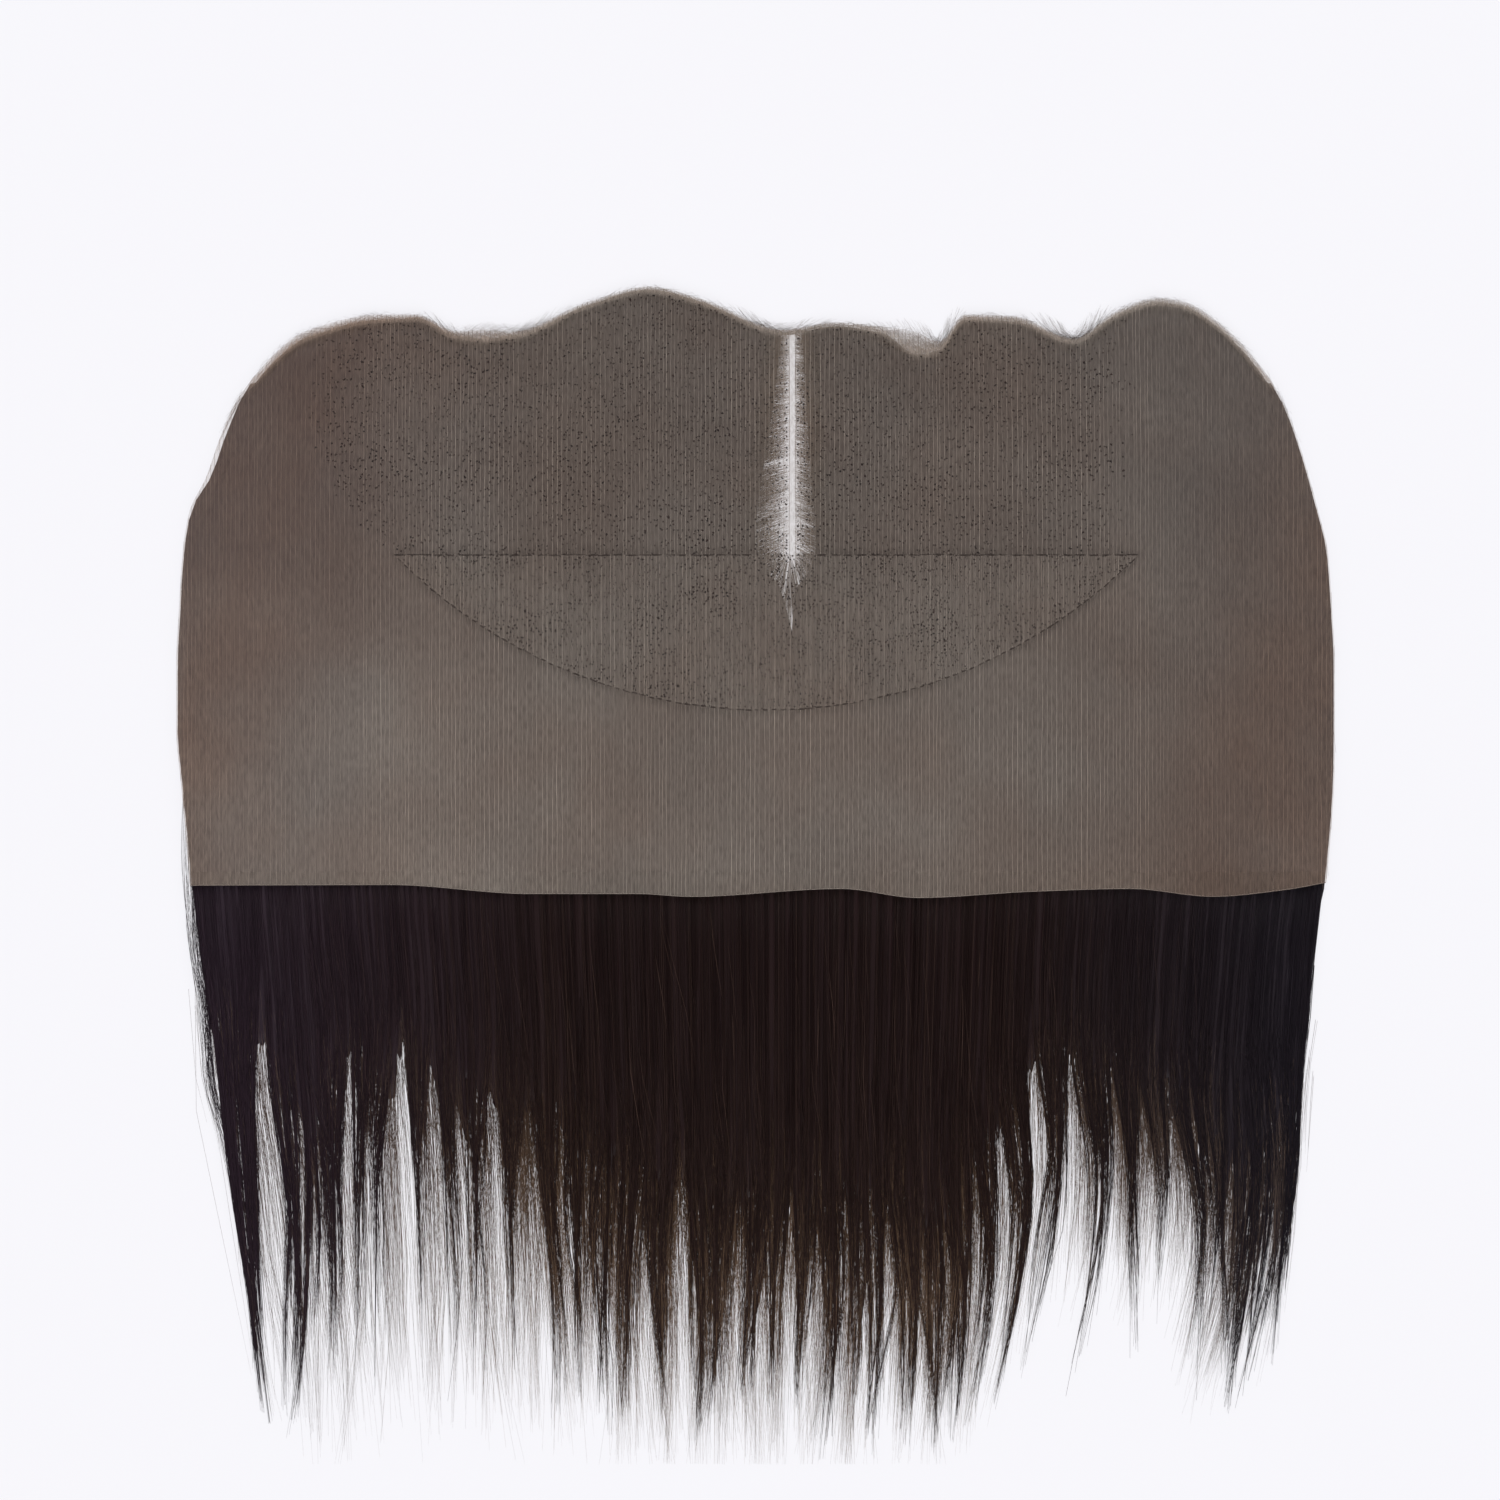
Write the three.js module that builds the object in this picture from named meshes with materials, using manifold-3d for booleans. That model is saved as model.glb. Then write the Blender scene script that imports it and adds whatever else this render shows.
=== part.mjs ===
import * as THREE from "three";
import { mergeVertices } from "three/addons/utils/BufferGeometryUtils.js";
import Module from "manifold-3d";

// A lace frontal hairpiece lying flat, scalp side up. A fine net covers a thin bed of straight hair,
// which is parted to a slit under the net and falls in separate locks beyond the hem.
// X runs across, Y from the hem to the front hairline, Z up. The origin is under the footprint's middle.

const wasm = await Module();
wasm.setup();

// The net, in millimetres
const netWidth = 330;
const netDepth = 160;
const netThickness = 1;
const netRoll = 45;
const netOverHair = 0.5;

// The parting panel, a second layer of net
const panelWidth = 211;
const panelDepth = 44;
const panelThickness = 0.8;
const panelOverNet = 0.3;
const panelCentreX = 3;
const panelSeamUp = 95;

// The hair bed under the net, and the parting in it
const bedThickness = 5;
const edgeThickness = 1.5;
const hairInset = 0.8;
const partX = 10.4;
const partWidth = 5;
const partTail = 20;
const partSlope = 12;
const halvesGap = 0.3;

// The hair beyond the hem
const hairFall = 164;
const lockWidth = 10;
const lockHeight = 3;
const lockTipWidth = 1.2;
const lockTipHeight = 0.8;
const lockTaper = 1.6;
const lockShoulderWidth = 0.7;
const lockShoulderHeight = 0.75;

// The sides of the net, from the hem to the shoulders: up is a share of the net's depth,
// left and right are shares of its width from the middle.
const sideRows = [
  { up: 0.0, left: -0.488, right: 0.492 },
  { up: 0.1, left: -0.492, right: 0.4965 },
  { up: 0.2, left: -0.4965, right: 0.4995 },
  { up: 0.28, left: -0.5, right: 0.5 },
  { up: 0.4, left: -0.5, right: 0.5 },
  { up: 0.5, left: -0.4977, right: 0.4975 },
  { up: 0.6, left: -0.4945, right: 0.494 },
  { up: 0.67, left: -0.489, right: 0.486 },
  { up: 0.735, left: -0.474, right: 0.4775 },
  { up: 0.8, left: -0.463, right: 0.468 },
  { up: 0.86, left: -0.4505, right: 0.457 },
  { up: 0.913, left: -0.433, right: 0.4425 },
];

// The front hairline, from the left shoulder to the right one: at is a share of the way between them,
// up a share of the net's depth, and bare the share of the depth where the net has no hair under it.
const frontRows = [
  { at: 0.0, up: 0.913, bare: 0.012 },
  { at: 0.023, up: 0.958, bare: 0.01 },
  { at: 0.05, up: 0.993, bare: 0.008 },
  { at: 0.124, up: 1.023, bare: 0.006 },
  { at: 0.16, up: 1.023, bare: 0.006 },
  { at: 0.201, up: 0.993, bare: 0.012 },
  { at: 0.226, up: 0.996, bare: 0.022 },
  { at: 0.254, up: 0.993, bare: 0.01 },
  { at: 0.327, up: 1.044, bare: 0.006 },
  { at: 0.389, up: 1.073, bare: 0.006 },
  { at: 0.441, up: 1.051, bare: 0.006 },
  { at: 0.523, up: 0.996, bare: 0.006 },
  { at: 0.571, up: 1.009, bare: 0.006 },
  { at: 0.619, up: 1.002, bare: 0.014 },
  { at: 0.652, up: 0.992, bare: 0.042 },
  { at: 0.676, up: 0.975, bare: 0.018 },
  { at: 0.7, up: 1.023, bare: 0.01 },
  { at: 0.75, up: 1.02, bare: 0.008 },
  { at: 0.8085, up: 0.98, bare: 0.008 },
  { at: 0.848, up: 1.027, bare: 0.006 },
  { at: 0.892, up: 1.053, bare: 0.006 },
  { at: 0.92, up: 1.044, bare: 0.006 },
  { at: 0.949, up: 1.012, bare: 0.008 },
  { at: 0.9735, up: 0.972, bare: 0.01 },
  { at: 1.0, up: 0.913, bare: 0.012 },
];

// The hem's slow wave, from the left corner to the right one: rise is a share of the net's depth.
const hemRows = [
  { at: 0.0, rise: 0.007 },
  { at: 0.177, rise: 0.009 },
  { at: 0.3, rise: -0.007 },
  { at: 0.396, rise: -0.007 },
  { at: 0.44, rise: -0.012 },
  { at: 0.573, rise: 0.002 },
  { at: 0.64, rise: -0.014 },
  { at: 0.74, rise: -0.003 },
  { at: 0.827, rise: 0.002 },
  { at: 0.9, rise: -0.012 },
  { at: 0.966, rise: 0.0 },
  { at: 1.0, rise: 0.012 },
];

// The sides of the hair below the hem: down is a share of the fall, left and right shares of the width.
const fallRows = [
  { down: 0.0, left: -0.488, right: 0.492 },
  { down: 0.11, left: -0.482, right: 0.484 },
  { down: 0.22, left: -0.4745, right: 0.48 },
  { down: 0.33, left: -0.47, right: 0.4725 },
  { down: 0.44, left: -0.456, right: 0.4685 },
  { down: 0.53, left: -0.4475, right: 0.4655 },
];

// How far the closed mat of hair reaches before it splits into locks: at is a share of the way from
// the outer side to the parting, reach a share of the fall.
const leftMat = [
  { at: 0.0, reach: 0.25 },
  { at: 0.086, reach: 0.28 },
  { at: 0.185, reach: 0.43 },
  { at: 0.235, reach: 0.35 },
  { at: 0.338, reach: 0.3 },
  { at: 0.4, reach: 0.34 },
  { at: 0.55, reach: 0.41 },
  { at: 0.616, reach: 0.43 },
  { at: 0.682, reach: 0.52 },
  { at: 0.848, reach: 0.58 },
  { at: 1.0, reach: 0.62 },
];
const rightMat = [
  { at: 0.0, reach: 0.38 },
  { at: 0.052, reach: 0.42 },
  { at: 0.164, reach: 0.48 },
  { at: 0.276, reach: 0.44 },
  { at: 0.35, reach: 0.38 },
  { at: 0.407, reach: 0.37 },
  { at: 0.48, reach: 0.3 },
  { at: 0.528, reach: 0.33 },
  { at: 0.575, reach: 0.44 },
  { at: 0.63, reach: 0.53 },
  { at: 0.724, reach: 0.7 },
  { at: 0.8, reach: 0.61 },
  { at: 1.0, reach: 0.62 },
];

// The locks, from the outer side to the parting: at and tip are shares of that way, from and reach
// shares of the fall, broad and bow shares of the lock width. bow is positive towards the right.
const leftLocks = [
  { at: 0.06, tip: 0.126, from: 0.14, reach: 0.933, broad: 1.1, bow: -0.1 },
  { at: 0.144, tip: 0.156, from: 0.22, reach: 0.96, broad: 1.5, bow: 0.6 },
  { at: 0.215, tip: 0.238, from: 0.26, reach: 0.858, broad: 0.9, bow: 0.1 },
  { at: 0.272, tip: 0.262, from: 0.24, reach: 0.92, broad: 0.5, bow: 0.2 },
  { at: 0.306, tip: 0.301, from: 0.22, reach: 0.907, broad: 0.5, bow: 0.0 },
  { at: 0.392, tip: 0.421, from: 0.24, reach: 0.92, broad: 0.65, bow: 0.3 },
  { at: 0.459, tip: 0.47, from: 0.28, reach: 0.88, broad: 0.55, bow: 0.1 },
  { at: 0.517, tip: 0.533, from: 0.3, reach: 0.89, broad: 0.6, bow: 0.1 },
  { at: 0.575, tip: 0.609, from: 0.32, reach: 0.934, broad: 0.7, bow: 0.2 },
  { at: 0.629, tip: 0.646, from: 0.34, reach: 0.926, broad: 0.75, bow: 0.1 },
  { at: 0.675, tip: 0.687, from: 0.4, reach: 0.957, broad: 0.9, bow: 0.0 },
  { at: 0.719, tip: 0.714, from: 0.43, reach: 0.95, broad: 0.75, bow: 0.1 },
  { at: 0.773, tip: 0.783, from: 0.45, reach: 0.917, broad: 0.9, bow: 0.0 },
  { at: 0.838, tip: 0.838, from: 0.47, reach: 0.979, broad: 1.0, bow: 0.3 },
  { at: 0.884, tip: 0.871, from: 0.48, reach: 0.95, broad: 0.75, bow: 0.0 },
  { at: 0.934, tip: 0.917, from: 0.5, reach: 0.926, broad: 0.75, bow: 0.1 },
  { at: 0.973, tip: 0.97, from: 0.5, reach: 0.928, broad: 0.7, bow: 0.0 },
];
const rightLocks = [
  { at: 0.052, tip: 0.097, from: 0.26, reach: 0.83, broad: 0.5, bow: 0.1 },
  { at: 0.071, tip: 0.153, from: 0.28, reach: 0.903, broad: 1.1, bow: 0.2 },
  { at: 0.123, tip: 0.194, from: 0.32, reach: 0.914, broad: 1.6, bow: 0.2 },
  { at: 0.187, tip: 0.216, from: 0.34, reach: 0.762, broad: 0.7, bow: 0.1 },
  { at: 0.239, tip: 0.256, from: 0.32, reach: 0.896, broad: 0.75, bow: 0.3 },
  { at: 0.299, tip: 0.317, from: 0.3, reach: 0.762, broad: 0.55, bow: 0.1 },
  { at: 0.358, tip: 0.356, from: 0.26, reach: 0.831, broad: 0.5, bow: 0.0 },
  { at: 0.42, tip: 0.483, from: 0.26, reach: 0.914, broad: 0.8, bow: 0.4 },
  { at: 0.507, tip: 0.59, from: 0.22, reach: 0.883, broad: 0.7, bow: 0.6 },
  { at: 0.575, tip: 0.623, from: 0.32, reach: 0.907, broad: 0.9, bow: 0.5 },
  { at: 0.627, tip: 0.668, from: 0.4, reach: 0.94, broad: 0.75, bow: 0.3 },
  { at: 0.672, tip: 0.694, from: 0.45, reach: 0.964, broad: 0.8, bow: 0.1 },
  { at: 0.724, tip: 0.733, from: 0.52, reach: 0.983, broad: 1.3, bow: 0.1 },
  { at: 0.784, tip: 0.784, from: 0.5, reach: 0.993, broad: 0.8, bow: 0.1 },
  { at: 0.832, tip: 0.854, from: 0.5, reach: 1.0, broad: 0.75, bow: 0.1 },
  { at: 0.877, tip: 0.884, from: 0.51, reach: 0.96, broad: 0.7, bow: 0.0 },
  { at: 0.924, tip: 0.946, from: 0.51, reach: 1.0, broad: 0.9, bow: 0.2 },
  { at: 0.972, tip: 0.988, from: 0.51, reach: 0.917, broad: 0.65, bow: 0.0 },
];

const { lerp, smoothstep, clamp } = THREE.MathUtils;

// A smooth value between table rows that never overshoots them, level beyond the first and the last.
function readTable(rows, along, want, at) {
  const last = rows.length - 1;
  const place = clamp(at, rows[0][along], rows[last][along]);
  let low = 0;
  while (low < last - 1 && place > rows[low + 1][along]) low += 1;
  const step = (i) => rows[i + 1][along] - rows[i][along];
  const rise = (i) => (rows[i + 1][want] - rows[i][want]) / step(i);
  const slope = (i) => {
    if (i === 0) return rise(0);
    if (i === last) return rise(last - 1);
    const before = rise(i - 1);
    const after = rise(i);
    return before * after > 0 ? (2 * before * after) / (before + after) : 0;
  };
  const t = (place - rows[low][along]) / step(low);
  const ahead = t * t * (3 - 2 * t);
  const leaving = t * (1 - t) * (1 - t) * step(low) * slope(low);
  const arriving = t * t * (1 - t) * step(low) * slope(low + 1);
  return lerp(rows[low][want], rows[low + 1][want], ahead) + leaving - arriving;
}

// The footprint's middle is the origin, so the hem lies where the net's reach and the fall balance.
const netReach = netDepth * Math.max(...frontRows.map((row) => row.up));
const longestLock = hairFall * Math.max(...[...leftLocks, ...rightLocks].map((row) => row.reach));
const hemY = (longestLock - netReach) / 2;
const seamY = hemY + panelSeamUp;
const shoulder = sideRows[sideRows.length - 1];

function sideX(side, y) {
  return netWidth * readTable(sideRows, "up", side, (y - hemY) / netDepth);
}

function fallSideX(side, y) {
  return netWidth * readTable(fallRows, "down", side, (hemY - y) / hairFall);
}

function frontShare(x) {
  return (x / netWidth - shoulder.left) / (shoulder.right - shoulder.left);
}

function frontY(x) {
  return hemY + netDepth * readTable(frontRows, "at", "up", frontShare(x));
}

function hairFrontY(x) {
  return frontY(x) - netDepth * readTable(frontRows, "at", "bare", frontShare(x));
}

// A share of 1 on the flat middle of the net, and 0 along its sides and front, where it rolls down.
function fullness(x, y) {
  const fromSide = Math.min(x - sideX("left", y), sideX("right", y) - x);
  return smoothstep(fromSide, 0, netRoll) * smoothstep(frontY(x) - y, 0, netRoll);
}

function hairUnderNet(x, y) {
  return lerp(edgeThickness, bedThickness, fullness(x, y));
}

function netBottom(x, y) {
  return hairUnderNet(x, y) + netOverHair;
}

// Half the width of the slit: full from the hairline to the panel's seam, closing in the tail below it.
function slitHalf(y) {
  const open = smoothstep(y, seamY - partTail, seamY);
  return lerp(halvesGap, partWidth, open) / 2;
}

// A share of 0 at the slit, where the hair is combed away to the sides, and 1 past its slope.
function partFullness(x, y) {
  const open = smoothstep(y, seamY - partTail, seamY);
  const away = smoothstep(Math.abs(x - partX) - slitHalf(y), 0, partSlope);
  return lerp(1, away, open);
}

// A point inside four edge curves, each read from 0 to 1: the edges are kept exactly.
function insideEdges(edges, across, up) {
  const corners = [
    [edges.bottom(0), (1 - across) * (1 - up)],
    [edges.bottom(1), across * (1 - up)],
    [edges.top(0), (1 - across) * up],
    [edges.top(1), across * up],
  ];
  const point = new THREE.Vector2();
  point.addScaledVector(edges.bottom(across), 1 - up);
  point.addScaledVector(edges.top(across), up);
  point.addScaledVector(edges.left(up), 1 - across);
  point.addScaledVector(edges.right(up), across);
  for (const [corner, share] of corners) point.addScaledVector(corner, -share);
  return point;
}

// A closed slab between two surfaces that share a grid of columns and rows.
function slab(columns, rows, bottomPoint, topPoint) {
  const layer = (columns + 1) * (rows + 1);
  const points = [];
  for (const pointAt of [bottomPoint, topPoint]) {
    for (let row = 0; row <= rows; row += 1) {
      for (let column = 0; column <= columns; column += 1) {
        const { x, y, z } = pointAt(column, row);
        points.push(x, y, z);
      }
    }
  }
  const index = (column, row) => row * (columns + 1) + column;
  const faces = [];
  const quad = (a, b, c, d) => faces.push(a, b, c, a, c, d);
  for (let row = 0; row < rows; row += 1) {
    for (let column = 0; column < columns; column += 1) {
      const corners = [
        index(column, row),
        index(column + 1, row),
        index(column + 1, row + 1),
        index(column, row + 1),
      ];
      quad(...corners.map((corner) => corner + layer));
      quad(...corners.reverse());
    }
  }
  const rim = (a, b) => quad(a, b, b + layer, a + layer);
  for (let column = 0; column < columns; column += 1) {
    rim(index(column, 0), index(column + 1, 0));
    rim(index(column + 1, rows), index(column, rows));
  }
  for (let row = 0; row < rows; row += 1) {
    rim(index(columns, row), index(columns, row + 1));
    rim(index(0, row + 1), index(0, row));
  }
  return closedGeometry(points, faces);
}

function closedGeometry(points, faces) {
  const geometry = new THREE.BufferGeometry();
  geometry.setAttribute("position", new THREE.Float32BufferAttribute(points, 3));
  geometry.setIndex(faces);
  return geometry;
}

function toSolid(geometry) {
  const bare = geometry.clone();
  bare.deleteAttribute("normal");
  bare.deleteAttribute("uv");
  const merged = mergeVertices(bare);
  return new wasm.Manifold(
    new wasm.Mesh({
      numProp: 3,
      vertProperties: new Float32Array(merged.attributes.position.array),
      triVerts: new Uint32Array(merged.index.array),
    }),
  );
}

function toGeometry(solid) {
  const mesh = solid.getMesh();
  return closedGeometry(Array.from(mesh.vertProperties), Array.from(mesh.triVerts));
}

// Columns at every row of the front table and halfway between, so that each bend of the hairline is kept.
const netColumns = frontRows.flatMap((row, i) => {
  const next = frontRows[i + 1];
  return next ? [row.at, (row.at + next.at) / 2] : [row.at];
});
const netRows = 14;

const netEdges = {
  bottom: (across) => {
    const x = netWidth * lerp(sideRows[0].left, sideRows[0].right, across);
    return new THREE.Vector2(x, hemY + netDepth * readTable(hemRows, "at", "rise", across));
  },
  top: (across) => {
    const x = netWidth * lerp(shoulder.left, shoulder.right, across);
    return new THREE.Vector2(x, frontY(x));
  },
  left: (up) => netSide("left", hemRows[0].rise, up),
  right: (up) => netSide("right", hemRows[hemRows.length - 1].rise, up),
};

function netSide(side, hemRise, up) {
  const y = hemY + netDepth * lerp(hemRise, shoulder.up, up);
  return new THREE.Vector2(sideX(side, y), y);
}

// One layer of net of a given thickness, a given height over the hair's surface.
function netLayer(lift, thickness) {
  const pointAt = (raise) => (column, row) => {
    const flat = insideEdges(netEdges, netColumns[column], row / netRows);
    return new THREE.Vector3(flat.x, flat.y, netBottom(flat.x, flat.y) + raise);
  };
  return slab(netColumns.length - 1, netRows, pointAt(lift), pointAt(lift + thickness));
}

// The panel's outline: a straight chord, and under it an arc through its ends and its lowest point.
function panelOutline() {
  const radius = ((panelWidth / 2) ** 2 + panelDepth ** 2) / (2 * panelDepth);
  const halfAngle = Math.asin(panelWidth / 2 / radius);
  const centreY = seamY - panelDepth + radius;
  const outline = new THREE.Shape();
  const down = -Math.PI / 2;
  outline.absarc(panelCentreX, centreY, radius, down - halfAngle, down + halfAngle, false);
  outline.closePath();
  return outline;
}

const arcSegments = 36;

function makePanel() {
  const highest = bedThickness + netOverHair + netThickness + panelOverNet + panelThickness;
  const lens = new THREE.ExtrudeGeometry(panelOutline(), {
    depth: highest + panelThickness,
    bevelEnabled: false,
    curveSegments: arcSegments,
  });
  const layer = netLayer(netThickness + panelOverNet, panelThickness);
  return toGeometry(toSolid(layer).intersect(toSolid(lens)));
}

const bedColumns = 20;
const bedRows = 10;
const matRows = 6;
const shoulderTurn = 0.02;

// The bed of one half, from the hairline to the end of the closed mat. Its columns run from the outer
// side to the parting, and its rows first under the net and then down the fall.
function makeBed(side, mat) {
  const inward = side === "left" ? 1 : -1;
  const outerX = (y) => sideX(side, y) + inward * hairInset;
  const shoulderY = hemY + netDepth * (shoulder.up - frontRows[0].bare);
  const shoulderX = outerX(shoulderY);
  const edges = {
    bottom: (across) => new THREE.Vector2(lerp(outerX(hemY), partX, across), hemY),
    top: (across) => {
      const x = lerp(shoulderX, partX, across);
      return new THREE.Vector2(x, lerp(shoulderY, hairFrontY(x), smoothstep(across, 0, shoulderTurn)));
    },
    left: (up) => {
      const y = lerp(hemY, shoulderY, up);
      return new THREE.Vector2(outerX(y), y);
    },
    right: (up) => new THREE.Vector2(partX, lerp(hemY, hairFrontY(partX), up)),
  };
  const flatPoint = (across, row) => {
    if (row <= bedRows) return insideEdges(edges, across, 1 - row / bedRows);
    const down = (row - bedRows) / matRows;
    const y = hemY - down * hairFall * readTable(mat, "at", "reach", across);
    return new THREE.Vector2(lerp(fallSideX(side, y) + inward * hairInset, partX, across), y);
  };
  const topHeight = ({ x, y }, row) => {
    const down = Math.max(0, row - bedRows) / matRows;
    const full = row <= bedRows ? fullness(x, y) : fallFullness(side, x, y) * (1 - down);
    return lerp(edgeThickness, bedThickness, full * partFullness(x, y));
  };
  const column = (i) => (side === "left" ? i : bedColumns - i) / bedColumns;
  const line = (j) => bedRows + matRows - j;
  return slab(
    bedColumns,
    bedRows + matRows,
    (i, j) => {
      const flat = flatPoint(column(i), line(j));
      return new THREE.Vector3(flat.x, flat.y, 0);
    },
    (i, j) => {
      const flat = flatPoint(column(i), line(j));
      return new THREE.Vector3(flat.x, flat.y, topHeight(flat, line(j)));
    },
  );
}

function fallFullness(side, x, y) {
  return smoothstep(Math.abs(x - fallSideX(side, y)), 0, netRoll);
}

// One lock lies on its flat underside and tapers to its tip. Its first section is sunk in the mat.
const lockSections = 6;

function makeLock(side, lock) {
  const cornerX = netWidth * sideRows[0][side];
  const points = [];
  const faces = [];
  for (let section = 0; section <= lockSections; section += 1) {
    const along = section / lockSections;
    const bend = Math.sin(Math.PI * along) * lock.bow * lockWidth;
    const x = lerp(cornerX, partX, lerp(lock.at, lock.tip, along)) + bend;
    const y = hemY - hairFall * lerp(lock.from, lock.reach, along);
    const half = lerp(lock.broad * lockWidth, lockTipWidth, along ** lockTaper) / 2;
    const height = lerp(lockTipHeight, lockHeight, Math.sin(Math.PI * Math.sqrt(along)));
    points.push(x - half, y, 0);
    points.push(x + half, y, 0);
    points.push(x + half * lockShoulderWidth, y, height * lockShoulderHeight);
    points.push(x, y, height);
    points.push(x - half * lockShoulderWidth, y, height * lockShoulderHeight);
  }
  const sides = 5;
  for (let section = 0; section < lockSections; section += 1) {
    for (let corner = 0; corner < sides; corner += 1) {
      const a = section * sides + corner;
      const b = section * sides + ((corner + 1) % sides);
      faces.push(a, b, b + sides, a, b + sides, a + sides);
    }
  }
  const end = lockSections * sides;
  for (let corner = 1; corner < sides - 1; corner += 1) {
    faces.push(0, corner + 1, corner);
    faces.push(end, end + corner, end + corner + 1);
  }
  return closedGeometry(points, faces);
}

// Everything past the slit's edge on the far side of one half, as a prism.
function makePartCutter(side) {
  const outward = side === "left" ? -1 : 1;
  const tailSteps = 6;
  const wellBelow = hemY - 2 * hairFall;
  const wellAbove = hemY + 2 * netDepth;
  const edge = [wellBelow];
  for (let i = 0; i <= tailSteps; i += 1) edge.push(seamY - partTail + (partTail * i) / tailSteps);
  edge.push(wellAbove);
  const outline = edge.map((y) => new THREE.Vector2(partX + outward * slitHalf(y), y));
  const farX = partX - outward * netWidth;
  outline.push(new THREE.Vector2(farX, wellAbove));
  outline.push(new THREE.Vector2(farX, wellBelow));
  const prism = new THREE.ExtrudeGeometry(new THREE.Shape(outline), {
    depth: 3 * bedThickness,
    bevelEnabled: false,
  });
  prism.translate(0, 0, -bedThickness);
  return toSolid(prism);
}

function makeHair(side, mat, locks) {
  let hair = toSolid(makeBed(side, mat));
  for (const lock of locks) hair = hair.add(toSolid(makeLock(side, lock)));
  return toGeometry(hair.subtract(makePartCutter(side)));
}

function makeMaterial(color, roughness) {
  return new THREE.MeshStandardMaterial({ color, roughness, metalness: 0 });
}

function addPiece(group, name, geometry, material) {
  const mesh = new THREE.Mesh(geometry, material);
  mesh.name = name;
  group.add(mesh);
}

const hairpiece = new THREE.Group();
addPiece(hairpiece, "lace_base", netLayer(0, netThickness), makeMaterial(0x6a625b, 0.9));
addPiece(hairpiece, "parting_panel", makePanel(), makeMaterial(0x544c46, 0.9));
addPiece(hairpiece, "hair_left", makeHair("left", leftMat, leftLocks), makeMaterial(0x1c1214, 0.45));
addPiece(hairpiece, "hair_right", makeHair("right", rightMat, rightLocks), makeMaterial(0x1c1214, 0.45));

export default hairpiece;
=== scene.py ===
# %% [markdown]
# # A lace frontal hairpiece
# A lace frontal is a piece of false hair for the front of the head. Straight hair is knotted by hand
# into a fine net, which reaches from ear to ear. Here it lies on its hair with the scalp side up, so
# that the net covers the hair like a veil and the loose ends come out below the hem.
# The frame holds the solids that carry it. This lesson dresses them, in metres and in the same place.

# %% Load the frame
import math

import bpy
import numpy as np
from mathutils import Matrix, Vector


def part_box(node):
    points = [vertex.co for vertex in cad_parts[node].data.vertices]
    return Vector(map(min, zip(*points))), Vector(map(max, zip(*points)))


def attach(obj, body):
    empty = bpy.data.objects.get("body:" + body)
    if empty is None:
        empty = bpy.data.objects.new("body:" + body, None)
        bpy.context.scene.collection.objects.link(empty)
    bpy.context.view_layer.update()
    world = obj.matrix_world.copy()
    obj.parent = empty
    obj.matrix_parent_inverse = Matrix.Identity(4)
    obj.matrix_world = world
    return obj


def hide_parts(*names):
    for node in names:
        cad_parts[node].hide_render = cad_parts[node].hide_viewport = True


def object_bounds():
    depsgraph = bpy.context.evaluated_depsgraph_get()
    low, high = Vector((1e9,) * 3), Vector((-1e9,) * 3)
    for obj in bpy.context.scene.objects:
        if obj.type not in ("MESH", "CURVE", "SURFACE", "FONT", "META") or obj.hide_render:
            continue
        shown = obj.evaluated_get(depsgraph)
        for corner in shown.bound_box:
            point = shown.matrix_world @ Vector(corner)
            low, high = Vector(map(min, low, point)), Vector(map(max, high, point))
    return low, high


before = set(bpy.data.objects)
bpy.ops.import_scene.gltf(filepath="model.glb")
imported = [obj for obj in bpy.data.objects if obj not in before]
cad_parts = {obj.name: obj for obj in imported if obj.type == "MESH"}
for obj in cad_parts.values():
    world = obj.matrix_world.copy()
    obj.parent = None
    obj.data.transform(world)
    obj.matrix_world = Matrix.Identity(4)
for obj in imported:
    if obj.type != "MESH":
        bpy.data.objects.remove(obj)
cad_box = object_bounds()
net_low, net_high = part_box("lace_base")
panel_low, panel_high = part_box("parting_panel")
print("CAD box", cad_box)

# %% [markdown]
# ## Units and helpers
# Real sizes of hair and net are small, so they are written in millimetres and turned to metres by one
# value. Colours are written as sRGB hex, the way a colour card gives them, and one function turns
# them to the linear values that the renderer wants.

# %% Units, colours and nodes
mm = 0.001


def linear(hex_colour):
    """An sRGB hex colour as linear red, green, blue and alpha."""
    parts = [int(hex_colour[i : i + 2], 16) / 255 for i in (1, 3, 5)]
    return [p / 12.92 if p <= 0.04045 else ((p + 0.055) / 1.055) ** 2.4 for p in parts] + [1.0]


def add_node(tree, kind, inputs=None, **settings):
    """Adds one node with its settings. Each input is a value, or a socket that feeds it."""
    node = tree.nodes.new(kind)
    for name, value in settings.items():
        setattr(node, name, value)
    for name, value in (inputs or {}).items():
        if isinstance(value, bpy.types.NodeSocket):
            tree.links.new(value, node.inputs[name])
        else:
            node.inputs[name].default_value = value
    return node


def new_material(name):
    """A material with an empty node tree and its output."""
    material = bpy.data.materials.new(name)
    material.use_nodes = True
    tree = material.node_tree
    tree.nodes.clear()
    return material, tree, tree.nodes.new("ShaderNodeOutputMaterial")


# %% [markdown]
# ## Camera
# The photograph looks straight down, with the hairline at the top. A long lens far above keeps the
# flat piece free of perspective. The picture is square and takes in 425 mm of the table.

# %% Camera
frame_width = 425.7 * mm
lens_mm, sensor_mm = 85.0, 36.0
aim = (-1.6 * mm, 35.8 * mm, 6 * mm)
camera_data = bpy.data.cameras.new("camera")
camera_data.lens = lens_mm
camera_data.sensor_width = sensor_mm
camera_data.clip_end = 20
camera = bpy.data.objects.new("camera", camera_data)
camera.location = (aim[0], aim[1], aim[2] + frame_width * lens_mm / sensor_mm)
bpy.context.collection.objects.link(camera)
bpy.context.scene.camera = camera
print("camera height", round(camera.location.z, 3))

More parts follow.
